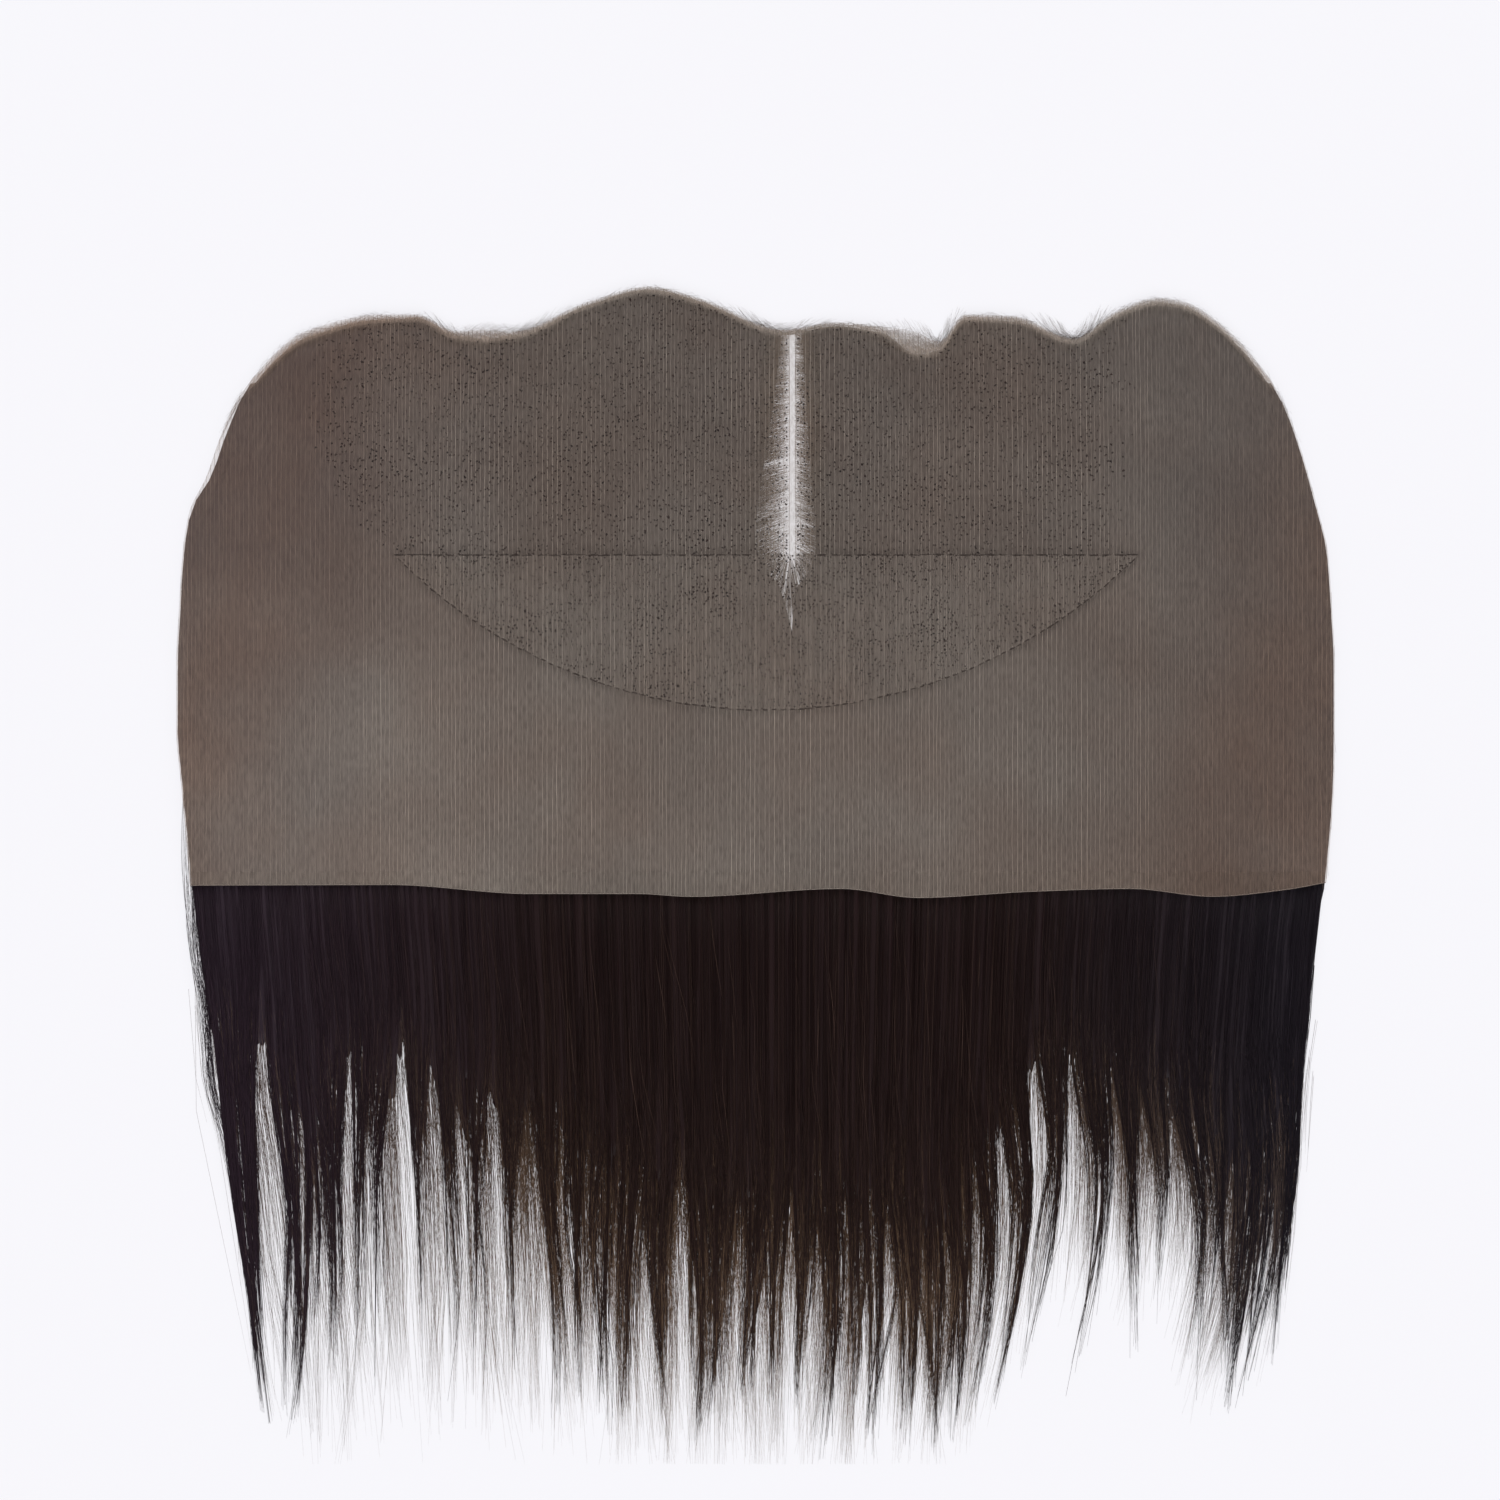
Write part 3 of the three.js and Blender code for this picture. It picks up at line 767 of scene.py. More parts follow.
# %% Seam, arc and hem
seam_yarn = yarn_material("dark_sewing_thread", "#2e2622", "#2e2622", "#3d342f")
stitch_radius = 0.23 * mm


def stitches(line_x, line_y, length, gap, tone):
    """Short raised threads along a line of x and y."""
    distance = np.concatenate([[0], np.cumsum(np.hypot(np.diff(line_x), np.diff(line_y)))])
    starts = np.arange(0, distance[-1] - length, length + gap)
    starts = starts + rng.normal(0, 0.15 * gap, len(starts))
    lengths = length * rng.uniform(0.75, 1.15, len(starts))
    at = np.clip(starts[:, None] + lengths[:, None] * np.array([0, 0.33, 0.67, 1]), 0, distance[-1])
    x, y = np.interp(at, distance, line_x), np.interp(at, distance, line_y)
    y = y + rng.normal(0, 0.06 * mm, len(starts))[:, None]
    rise = np.array([-0.2, 0.12, 0.12, -0.2]) * mm
    radii = stitch_radius * np.array([0.6, 1, 1, 0.6]) * rng.uniform(0.6, 1.2, len(starts))[:, None]
    return np.stack([x, y, panel_z(x, y) + rise], axis=2), radii, np.full(len(starts), tone)


part_gap_left, part_gap_right = 9 * mm, 7 * mm
seam_left, seam_right = panel_x - panel_width / 2, panel_x + panel_width / 2
seam_runs = [(seam_left, part_x - part_gap_left), (part_x + part_gap_right, seam_right)]
for number, (start, end) in enumerate(seam_runs, 1):
    line_x = np.linspace(start, end, 60)
    line_y = np.full(60, seam_y) - 0.1 * mm
    made = stitches(line_x, line_y, length=3.4 * mm, gap=0.25 * mm, tone=0.2)
    tube_piece(f"seam_stitches_{number}", seam_yarn, "panel_net", *made)

line_x = np.linspace(seam_left + 1 * mm, seam_right - 1 * mm, 200)
made = stitches(line_x, arc_y(line_x), length=1.7 * mm, gap=0.8 * mm, tone=0.4)
tube_piece("arc_stitches", seam_yarn, "panel_net", *made)

hem_points, hem_thread_radius = 160, 0.16 * mm
hem_x = np.linspace(sides["left"][0], sides["right"][0], hem_points) * net_width
hem_path = np.stack([hem_x, hem_line_y(hem_x), net_z(hem_x, hem_line_y(hem_x))], axis=1)[None]
hem_radii = np.full((1, hem_points), hem_thread_radius)
tube_piece("hem_edge", lace_yarn, "lace_net", hem_path, hem_radii, np.array([0.7]))

# %% [markdown]
# ## Hair
# The hair is human hair, straight and almost black. A hair is clear keratin filled with brown-black
# pigment, so it is dark, with an IOR of 1.55 and a soft shine along its length. Far more hairs lie in
# the piece than can be drawn. A closed bed of them carries the look of the mass, as the solid does,
# and over twenty thousand drawn strands lie on it and run out of it into the locks.

# %% Hair materials
streak_width, streak_length = 0.9 * mm, 60 * mm
left_tint_x, right_tint_x = (-60 * mm, -150 * mm), (70 * mm, 150 * mm)
hair_surface = {"Roughness": 0.45, "IOR": 1.55, "Specular IOR Level": 0.08}


def hair_material(name, dark, light, left_end, right_end, streaks=False):
    """Dark human hair. Its tone makes a strand lighter, and each side of the piece has a tint."""
    material, tree, out = new_material(name)
    place = object_place(tree)
    colour = mix_colours(tree, own_tone(tree), linear(dark), linear(light))
    x = across_piece(tree, place)
    for (start, end), tint in ((left_tint_x, left_end), (right_tint_x, right_end)):
        colour = mix_colours(tree, map_range(tree, x, start, end), colour, linear(tint))
    shader = add_node(tree, "ShaderNodeBsdfPrincipled", {"Base Color": colour, **hair_surface})
    if streaks:
        fibres = streaks_along_y(tree, place, streak_width, streak_length)
        ridges = {"Height": fibres, "Distance": 0.4 * mm, "Strength": 0.8}
        relief = add_node(tree, "ShaderNodeBump", ridges)
        tree.links.new(relief.outputs[0], shader.inputs["Normal"])
    tree.links.new(shader.outputs[0], out.inputs["Surface"])
    return material


hair_bed = hair_material("human_hair_mass", "#180b0b", "#180b0b", "#231a21", "#191419", streaks=True)
hair_strands = hair_material("human_hair_strands", "#150808", "#4a3831", "#261b23", "#19141a")
hair_fine = hair_material("human_hair_fine", "#1f100e", "#94785f", "#5a4a44", "#54463f")

# %% Tables of the fall
fall_sides = {
    "down": [0, 0.11, 0.22, 0.33, 0.44, 0.53, 0.67, 0.83, 0.93],
    "left": [-0.488, -0.482, -0.4745, -0.47, -0.456, -0.4475, -0.442, -0.4295, -0.4226],
    "right": [0.492, 0.484, 0.48, 0.4725, 0.4685, 0.4655, 0.456, 0.43, 0.42],
}
mat = {
    "left": {
        "at": [0, 0.09, 0.16, 0.2, 0.235, 0.275, 0.31, 0.338, 0.365, 0.4, 0.55, 0.616, 0.682, 0.848, 1],
        "reach": [0.25, 0.3, 0.52, 0.38, 0.32, 0.38, 0.38, 0.28, 0.37, 0.41, 0.43, 0.46, 0.54, 0.6, 0.63],
    },
    "right": {
        "at": [0, 0.052, 0.13, 0.2, 0.276, 0.35, 0.407, 0.48, 0.528, 0.575, 0.63, 0.724, 0.8, 1],
        "reach": [0.38, 0.52, 0.6, 0.44, 0.43, 0.38, 0.37, 0.3, 0.33, 0.44, 0.53, 0.7, 0.61, 0.62],
    },
}
# Each lock: at and tip as shares from the outer side to the parting, start and reach as shares of the
# fall, then its breadth and its bow to the right in centimetres.
locks = {
    "left": [
        (0.06, 0.126, 0.14, 0.933, 1.1, -0.1),
        (0.144, 0.156, 0.22, 0.96, 1.5, 0.6),
        (0.215, 0.238, 0.26, 0.858, 0.9, 0.1),
        (0.272, 0.262, 0.24, 0.92, 0.5, 0.2),
        (0.306, 0.301, 0.22, 0.907, 0.5, 0.0),
        (0.366, 0.381, 0.22, 0.86, 0.5, 0.1),
        (0.408, 0.427, 0.24, 0.92, 0.6, 0.3),
        (0.459, 0.47, 0.28, 0.88, 0.55, 0.1),
        (0.517, 0.533, 0.3, 0.89, 0.6, 0.1),
        (0.575, 0.609, 0.32, 0.934, 0.7, 0.2),
        (0.629, 0.646, 0.34, 0.926, 0.75, 0.1),
        (0.675, 0.687, 0.4, 0.957, 0.9, 0.0),
        (0.719, 0.714, 0.43, 0.95, 0.75, 0.1),
        (0.773, 0.783, 0.45, 0.917, 0.9, 0.0),
        (0.838, 0.838, 0.47, 0.979, 1.0, 0.3),
        (0.884, 0.871, 0.48, 0.95, 0.75, 0.0),
        (0.934, 0.917, 0.5, 0.926, 0.75, 0.1),
        (0.973, 0.97, 0.5, 0.928, 0.7, 0.0),
    ],
    "right": [
        (0.052, 0.097, 0.26, 0.83, 0.5, 0.1),
        (0.071, 0.153, 0.28, 0.903, 1.1, 0.2),
        (0.123, 0.194, 0.32, 0.914, 1.6, 0.2),
        (0.187, 0.216, 0.34, 0.762, 0.7, 0.1),
        (0.239, 0.256, 0.32, 0.896, 0.75, 0.3),
        (0.299, 0.317, 0.3, 0.762, 0.55, 0.1),
        (0.358, 0.356, 0.26, 0.831, 0.5, 0.0),
        (0.42, 0.483, 0.26, 0.914, 0.8, 0.4),
        (0.507, 0.59, 0.22, 0.883, 0.7, 0.6),
        (0.575, 0.623, 0.32, 0.907, 0.9, 0.5),
        (0.627, 0.668, 0.4, 0.94, 0.75, 0.3),
        (0.672, 0.694, 0.45, 0.964, 0.8, 0.1),
        (0.724, 0.733, 0.52, 0.983, 1.3, 0.1),
        (0.784, 0.784, 0.5, 0.993, 0.8, 0.1),
        (0.832, 0.854, 0.5, 1.0, 0.75, 0.1),
        (0.877, 0.884, 0.51, 0.96, 0.7, 0.0),
        (0.924, 0.946, 0.51, 1.0, 0.9, 0.2),
        (0.972, 0.988, 0.51, 0.917, 0.65, 0.0),
    ],
}
inward = {"left": 1, "right": -1}


def fall_side_x(side, y):
    return net_width * read_table(fall_sides["down"], fall_sides[side], (hem_y - y) / fall)


def mat_reach(side, at):
    return read_table(mat[side]["at"], mat[side]["reach"], at)


# %% [markdown]
# ## Parting
# The two halves are combed away from the parting. Between them the bright table shows as a thin line,
# which widens to a feathered cone towards the seam. The beds stop short of it, and clumps of combed
# hairs reach into it from both sides.

# %% The parting's opening
part_open = {
    "up": [-0.3, -0.24, -0.16, -0.09, -0.04, 0, 0.1, 0.25, 0.45, 0.7, 1],
    "left": [0.02, 1.6, 3, 6, 8.5, 10.5, 10.5, 9.6, 7.6, 5.2, 3],
    "right": [0.02, 0.3, 0.8, 4, 6, 7, 6.8, 6, 5, 4, 2.8],
}
part_length = hair_front_y(part_x) - seam_y


def open_width(side, y):
    """How far from the parting's line one half's bed stops."""
    return mm * read_table(part_open["up"], part_open[side], (y - seam_y) / part_length)


part_half, part_slope, part_tail = 2.5 * mm, 12 * mm, 20 * mm


def hair_top(side, x, y, at):
    """The solid's top: full on the flat, and low at the sides, the parting and the mat's end."""
    down = np.clip((hem_y - y) / (fall * mat_reach(side, at)), 0, 1)
    below_hem = ease(np.abs(x - fall_side_x(side, y)), 0, net_roll) * (1 - down)
    full = np.where(y > hem_y, fullness(x, y), below_hem)
    beside = ease(np.abs(x - part_x) - part_half, 0, part_slope)
    full = full * mix(1, beside, ease(y, seam_y - part_tail, seam_y))
    return mix(edge_thickness, bed_thickness, full)


# %% Hair beds
bed_columns, net_bed_rows, mat_bed_rows = 200, 26, 14
bed_drop, bed_end, middle_gap = 0.6 * mm, 0.88, 0.02 * mm
bed_inset = {
    "up": [0, 0.2, 0.68, 0.75, 0.83, 0.9],
    "left": [0.3, 0.15, 0.2, 1.2, 1.1, 0.2],
    "right": [0.2, 0.1, 0.1, 0.1, 0.1, 0.1],
}


def bed_edge_x(side, y):
    """The outer edge of the hair under the net, a little inside the net's own."""
    inset = read_table(bed_inset["up"], bed_inset[side], net_up(y))
    return side_x(side, y) + inward[side] * inset * mm


def bed_points(side):
    """x, y and the share from the outer side to the parting, for a grid from the mat's end upwards."""
    way = inward[side]
    shoulder_y = hem_y + net_depth * (shoulder_up - hairline["bare"][0])
    shoulder_x = bed_edge_x(side, shoulder_y)
    front_end = hair_front_y(part_x)

    def outer(up):
        y = mix(hem_y, shoulder_y, up)
        return np.array([bed_edge_x(side, y), y])

    def inner(up):
        y = mix(hem_y, front_end, up)
        gap = np.maximum(open_width(side, y) * (y > seam_y - part_tail), middle_gap)
        return np.array([part_x - way * gap, y])

    def front(across):
        x = mix(shoulder_x, inner(1.0)[0], across)
        return np.array([x, mix(shoulder_y, hair_front_y(x), ease(across, 0, 0.02))])

    def bottom(across):
        start, end = outer(0.0)[0], inner(0.0)[0]
        return np.array([mix(start, end, across), hem_y + 0 * across])

    across, up, _ = sheet_grid(bed_columns, net_bed_rows)
    x, y = inside_edges(bottom, front, outer, inner, across, up)
    down = np.linspace(1, 0, mat_bed_rows + 1)[:-1, None]
    at = across[:1]
    steps, teeth = slow_waves(rng, 0.05, at, 0 * at), slow_waves(rng, 0.011, at, 0 * at)
    ragged = bed_end + 0.05 * steps + 0.08 * teeth
    mat_y = hem_y - down * fall * mat_reach(side, at) * ragged
    mat_x = mix(fall_side_x(side, mat_y) + way * 0.5 * mm, part_x - way * middle_gap, at)
    at = np.broadcast_to(at, (mat_bed_rows + net_bed_rows + 1, bed_columns + 1))
    return np.concatenate([mat_x, x]), np.concatenate([mat_y, y]), at


def hair_bed_piece(side):
    """A closed slab with fine ridges on top, in the place of one half's solid."""
    x, y, at = bed_points(side)
    rows, columns = x.shape
    ridges = 0.18 * mm * slow_waves(rng, 2.2 * mm, x, y * 0.03, 8)
    top = np.maximum(hair_top(side, x, y, at) - bed_drop + ridges, 0.4 * mm)
    layers = [np.stack([x, y, top], axis=-1), np.stack([x, y, 0 * x + 0.05 * mm], axis=-1)]
    _, _, quads = sheet_grid(columns - 1, rows - 1)
    layer = rows * columns
    index = np.arange(layer).reshape(rows, columns)
    rim = np.concatenate([index[0], index[1:, -1], index[-1, -2::-1], index[-2:0:-1, 0]])
    after = np.roll(rim, -1)
    walls = np.stack([rim + layer, after + layer, after, rim], axis=1)
    quads = np.concatenate([quads, quads[:, ::-1] + layer, walls])
    if side == "right":
        quads = quads[:, ::-1]
    tones = np.zeros(2 * layer)
    piece = mesh_piece(f"hair_{side}_bed", hair_bed, np.concatenate(layers), quads, tones=tones)
    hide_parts(f"hair_{side}")
    return piece


beds = [hair_bed_piece(side) for side in inward]

# %% [markdown]
# ## Locks and wisps
# Below the hem each strand starts where it leaves the net and is drawn into the lock next to it. A
# lock is several tufts, each with a way and an end of its own, so that it splits and thins to a point.
# Between the locks lie wisps of finer hair, which let the table through, and are painted lighter
# towards their tips as painted backlight. A few stray hairs lie aslant on the mass, and their light
# colour paints streaks of sheen.

# %% How a strand runs
def lock_table(side):
    """The locks' columns by name, with the shares of the hem that feed each lock."""
    rows = np.array(locks[side])
    edges = np.concatenate([[0.0], (rows[1:, 0] + rows[:-1, 0]) / 2, [1.0]])
    return dict(zip(("at", "tip", "start", "reach", "broad", "bow"), rows.T)), edges


side_margin = 0.3 * mm
lock_tip_width = 0.9
narrowing_by_breadth = ([0.6, 1.2], [0.75, 1.5])
gather_before, gather_after = 0.08, 0.24
drift_power = 1.6
sway_wave, sway_from, sway_full = 11, 0.3, 0.6
loose_height, tip_height, lowest = 1.5 * mm, 0.35 * mm, 0.2 * mm


def strand_paths(side, steps, strand):
    """Paths down the fall. strand holds one array for each fact of the strands."""
    lock_of = {name: values[strand["lock"]][:, None] for name, values in lock_table(side)[0].items()}
    fact = {name: values[:, None] for name, values in strand.items()}
    home, first, last = fact["home"], fact["first"], fact["last"]
    way = inward[side]
    down = mix(first, last, np.linspace(0, 1, steps))
    y = hem_y - fall * down
    free = mix(fall_side_x(side, y) + way * side_margin, part_x, home)
    along = np.clip((down - lock_of["start"]) / (lock_of["reach"] - lock_of["start"]), 0, 1.1)
    corner = net_width * sides[side][0]
    centre = mix(corner, part_x, mix(lock_of["at"], lock_of["tip"], along))
    centre = centre + np.sin(math.pi * np.clip(along, 0, 1)) * lock_of["bow"] * 10 * mm
    narrowing = np.interp(lock_of["broad"], *narrowing_by_breadth)
    half = mix(lock_of["broad"] * 10, lock_tip_width, np.clip(along, 0, 1) ** narrowing) / 2 * mm
    drawn = centre + way * fact["offset"] * half
    gathered = ease(down, lock_of["start"] - gather_before, lock_of["start"] + gather_after)
    x = mix(free, drawn, fact["pull"] * gathered)
    ahead = np.clip((down - mix(first, last, 0.3)) / 0.6, 0, 1.3)
    x = x + fact["drift"] * ahead**drift_power + fact["spread"] * (1 - 0.6 * ahead)
    x = x + fact["sway"] * ease(down, sway_from, sway_full) * np.sin(sway_wave * down + fact["turn"])
    mat_end = mat_reach(side, home)
    mass_top = hair_top(side, x, y, np.clip(home, 0, 1)) - bed_drop
    out = ease(down, 0.7 * mat_end, mat_end + 0.25)
    height = mix(mass_top, loose_height, out) + fact["lift"] * mm
    height = mix(height, tip_height, 0.8 * ease(ahead, 0.5, 1.2))
    return np.stack([x, y, np.maximum(height, lowest)], axis=2)


thin_tip, thin_root = ([0, 0.6, 1], [1, 1, 0.3]), ([0, 0.5, 1], [0.6, 1, 1])


def strand_radii(count, steps, low, high, profile=thin_tip):
    """Radii between two in millimetres, one for each hair, with a profile from root to tip."""
    radius = rng.uniform(low, high, count)[:, None] * mm
    return radius * np.interp(np.linspace(0, 1, steps), *profile)


# %% Locks
tufts_in_lock, tuft_jitter, tuft_shortening, tuft_drift_mm = 9, 0.12, 0.35, 0.9
late_share = 0.7
lock_thinning = {
    "left": {"at": [0, 0.16, 0.3, 0.5, 0.6, 0.72, 1], "power": [0.6, 0.6, 3.0, 2.2, 0.9, 0.55, 0.65]},
    "right": {"at": [0, 0.14, 0.22, 0.45, 0.6, 0.7, 1], "power": [0.7, 0.6, 3.2, 2.6, 1.1, 0.55, 0.7]},
}


def lock_strands(side, count, steps=6):
    """Strands of the locks: some start at the hem, but most come out of the mass lower down."""
    rows, edges = lock_table(side)
    locks_here = len(rows["at"])
    tuft_offset = rng.normal(0, tuft_jitter, (locks_here, tufts_in_lock))
    tuft_offset = np.linspace(-0.9, 0.9, tufts_in_lock) + tuft_offset
    tuft_reach = 1 - tuft_shortening * rng.random(tuft_offset.shape) * np.abs(tuft_offset) ** 0.5
    tuft_reach[:, tufts_in_lock // 2] = 1
    tuft_drift = rng.normal(0, tuft_drift_mm, tuft_offset.shape) * mm
    lock = rng.choice(locks_here, count, p=np.diff(edges))
    tuft = rng.integers(0, tufts_in_lock, count)
    place = tuft_offset[lock, tuft] + rng.normal(0, 0.07, count)
    across = np.clip(0.5 + 0.5 * place + rng.normal(0, 0.04, count), 0, 1)
    home = mix(edges[lock], edges[lock + 1], across)
    start, reach = rows["start"][lock], rows["reach"][lock]
    thinning = read_table(lock_thinning[side]["at"], lock_thinning[side]["power"], rows["at"][lock])
    thinning = thinning * np.interp(rows["broad"][lock], [0.7, 1.2], [1.3, 0.6])
    last = start + (reach - start) * tuft_reach[lock, tuft] * mix(0.3, 1, rng.random(count) ** thinning)
    late = rng.random(count) < late_share
    mat_end = mat_reach(side, home)
    first = np.where(late, mat_end * rng.uniform(0.3, 0.8, count), -0.03)
    sway = rng.normal(0, 1, tuft_offset.shape)
    turn = rng.uniform(0, 6, tuft_offset.shape)
    strand = {
        "lock": lock,
        "home": home,
        "offset": place,
        "pull": np.clip(rng.normal(0.95, 0.03, count), 0, 1),
        "first": first,
        "last": np.maximum(last, first + 0.2),
        "drift": tuft_drift[lock, tuft] + rng.normal(0, 0.35, count) * mm,
        "spread": rng.normal(0, 0.25, count) * mm,
        "sway": sway[lock, tuft] * mm,
        "turn": turn[lock, tuft],
        "lift": np.where(late, rng.uniform(-0.5, 0.1, count), rng.uniform(0, 0.6, count)),
    }
    tones = rng.gamma(0.8, 0.09, count)[:, None] + 0.2 * np.linspace(0, 1, steps) ** 2
    radii = strand_radii(count, steps, 0.07, 0.12)
    return strand_paths(side, steps, strand), radii, np.clip(tones, 0, 1)


# %% Wisps
hairs_in_wisp, wisp_shortness = 8, 1.8
veil = {
    "left": {
        "at": [0, 0.2, 0.35, 0.5, 0.65, 0.85, 1],
        "density": [1.0, 0.5, 0.46, 1.1, 1.6, 1.2, 0.8],
        "reach": [0.93, 0.95, 0.93, 0.92, 0.97, 1.0, 1.0],
    },
    "right": {
        "at": [0, 0.15, 0.25, 0.35, 0.45, 0.55, 0.7, 1],
        "density": [0.5, 0.7, 0.9, 1.0, 0.6, 0.6, 0.9, 0.7],
        "reach": [0.82, 0.86, 0.7, 0.68, 0.7, 0.85, 0.98, 1.0],
    },
}


def wisp_strands(side, count, steps=4):
    """Fine hairs in loose wisps, most of them ending not far below the mass."""
    _, edges = lock_table(side)
    wisps = count // hairs_in_wisp
    places = np.linspace(0, 1, 400)
    density = read_table(veil[side]["at"], veil[side]["density"], places)
    wisp_home = rng.choice(places, wisps, p=density / density.sum()) + rng.uniform(-0.002, 0.002, wisps)
    mat_end = mat_reach(side, wisp_home)
    furthest = read_table(veil[side]["at"], veil[side]["reach"], wisp_home)
    wisp_last = mat_end + (furthest - mat_end) * rng.uniform(0.05, 1, wisps) ** wisp_shortness
    every = np.repeat(np.arange(wisps), hairs_in_wisp)
    hairs = len(every)
    home = np.clip(wisp_home[every] + rng.normal(0, 0.012, hairs), 0, 1)
    first = mat_end[every] * rng.uniform(0.55, 0.85, hairs)
    loose = np.where(rng.random(wisps) < 0.25, 0.3, 1.8)[every]
    strand = {
        "lock": np.clip(np.searchsorted(edges, wisp_home) - 1, 0, len(edges) - 2)[every],
        "home": home,
        "offset": rng.normal(0, 1.2, wisps)[every],
        "pull": rng.uniform(0.1, 0.7, wisps)[every],
        "first": first,
        "last": np.clip(wisp_last[every] + rng.normal(0, 0.04, hairs), first + 0.15, 1.0),
        "drift": (rng.normal(0, 3.5, wisps)[every] + rng.normal(0, 0.5, hairs) * loose) * mm,
        "spread": rng.normal(0, 1, hairs) * loose * mm,
        "sway": rng.normal(0, 1.4, wisps)[every] * mm,
        "turn": rng.uniform(0, 6, wisps)[every],
        "lift": rng.uniform(-0.7, 0.1, hairs),
    }
    # The wisps are painted lighter, most of all towards their tips: painted backlight, the glowing table's
    # light through the thin hair.
    lighter = np.interp(np.linspace(0, 1, steps), [0, 0.4, 0.7, 1], [0.02, 0.35, 0.9, 1])
    tones = rng.uniform(0.15, 0.8, hairs)[:, None] * lighter
    return strand_paths(side, steps, strand), strand_radii(hairs, steps, 0.03, 0.048), tones


lock_strand_count, wisp_hair_count = 3900, 7200
for side in inward:
    tube_piece(f"hair_{side}_locks", hair_strands, "hair", *lock_strands(side, lock_strand_count))
    tube_piece(f"hair_{side}_wisps", hair_fine, "hair", *wisp_strands(side, wisp_hair_count))

# %% Stray hairs on the mass, with painted sheen
# The stray hairs are real hairs, but their light tones are painted sheen: streaks of shine painted into
# their colour.
sheen_stray_hairs = 150
home = rng.uniform(0.04, 0.96, sheen_stray_hairs)
first = rng.uniform(0.02, 0.3, sheen_stray_hairs)
down = mix(first[:, None], (first + rng.uniform(0.06, 0.25, sheen_stray_hairs))[:, None], np.linspace(0, 1, 4))
y = hem_y - fall * down
left, right = fall_side_x("left", y), fall_side_x("right", y)
aslant = rng.normal(12, 10, sheen_stray_hairs)[:, None] * mm
x = mix(left, right, home[:, None]) + (down - first[:, None]) * aslant
stray_side = np.where(x < part_x, x - left, right - x)
height = mix(edge_thickness, bed_thickness, ease(stray_side, 0, net_roll) * (1 - down)) - 0.1 * mm
paths = np.stack([x, y, height], axis=2)
sheen_stray_radii = rng.uniform(0.04, 0.1, sheen_stray_hairs)[:, None] * mm * np.array([0.4, 1, 1, 0.4])
tube_piece("hair_strays_painted_sheen", hair_strands, "hair", paths, sheen_stray_radii, rng.uniform(0.2, 0.9, sheen_stray_hairs))

# %% [markdown]
# ## Combed hairs of the parting
# Beside the parting the hairs lie in small clumps. Each clump starts narrow near the line, fans out
# as it goes and runs on to the bed. The table shows between the clumps as light feathers. At the end
# of the parting the hairs fan out from one point, as from the crown of a head.

# %% Combed hairs
clump_pitch, clump_hairs = 2.5 * mm, 150
clump_jitter, hair_jitter, end_jitter = 0.14 * clump_pitch, 0.39 * clump_pitch, 0.5 * clump_pitch
clump_slope = {"up": [0, 0.15, 0.6, 1], "degrees": [34, 24, 16, 10]}


def combed_clumps(side):
    """Clumps from the hairline to the seam, thin at the line and closed where the bed begins."""
    way = inward[side]
    clump_y = np.arange(seam_y - 2 * mm, hair_front_y(part_x) + 1 * mm, clump_pitch)
    clump_y = clump_y + rng.normal(0, clump_jitter, len(clump_y))
    every = np.repeat(np.arange(len(clump_y)), clump_hairs)
    count = len(every)
    y = clump_y[every] + rng.normal(0, hair_jitter, count)
    width = open_width(side, y)
    nearest = rng.choice([0.75, -0.5], count, p=[0.88, 0.12]) * mm
    start = np.maximum(width * mix(0.05, 0.85, rng.random(count)), nearest)
    up = (y - seam_y) / part_length
    slope = read_table(clump_slope["up"], clump_slope["degrees"], up) + rng.normal(0, 6, count)
    share = np.linspace(0, 1, 3)
    out_by = start[:, None] + (width - start + rng.uniform(2, 5, count) * mm)[:, None] * share
    drop = np.tan(np.radians(slope))[:, None] * (out_by - start[:, None]) * (0.7 + 0.3 * share)
    x = part_x - way * out_by
    y = y[:, None] - drop + rng.normal(0, end_jitter, count)[:, None] * share
    y = np.minimum(y, hair_front_y(x) - 0.2 * mm)
    height = (mix(0.9, 1.4, share) + rng.uniform(0, 0.5, count)[:, None]) * mm
    height = np.maximum(height, (hair_top(side, x, y, 1.0) - 0.4 * mm) * ease(share, 0.3, 1))
    radii = strand_radii(count, len(share), 0.022, 0.036, thin_root)
    tones = rng.uniform(0.3, 0.8, count)[:, None] * np.array([1, 0.5, 0])
    return np.stack([x, y, height], axis=2), radii, tones


for side in inward:
    tube_piece(f"parting_hairs_{side}", hair_fine, "hair", *combed_clumps(side))

# %% Fan of hairs at the parting's end
fan_gaps = np.radians([-156, -141, -119, -101, -72, -50, -28])
fan_hairs, fan_degrees, gap_half, gap_share = 1300, (-172, -8), math.radians(5), 0.6
fan_x, fan_y, fan_stretch = part_x - 0.5 * mm, seam_y + 1.5 * mm, 1.1
fan_starts, fan_ends = (2.5, 13), (14, 22)
closing_turn, closing_half = 0.14, math.radians(9)
angle = np.radians(rng.uniform(*fan_degrees, fan_hairs))
nearest = fan_gaps[np.argmin(np.abs(angle[:, None] - fan_gaps), axis=1)]
aside = angle - nearest
kept_off = gap_half * (rng.random(fan_hairs) < gap_share)
angle = nearest + np.sign(aside) * np.maximum(np.abs(aside), kept_off)
share = np.linspace(0, 1, 3)
start = rng.uniform(*fan_starts, fan_hairs) * mm
reach = start[:, None] + (rng.uniform(*fan_ends, fan_hairs) * mm - start)[:, None] * share
closing = closing_turn * np.clip(1 - np.abs(aside) / closing_half, 0, 1) * rng.random(fan_hairs)
closing = (-np.sign(aside) * closing)[:, None] * share**1.5
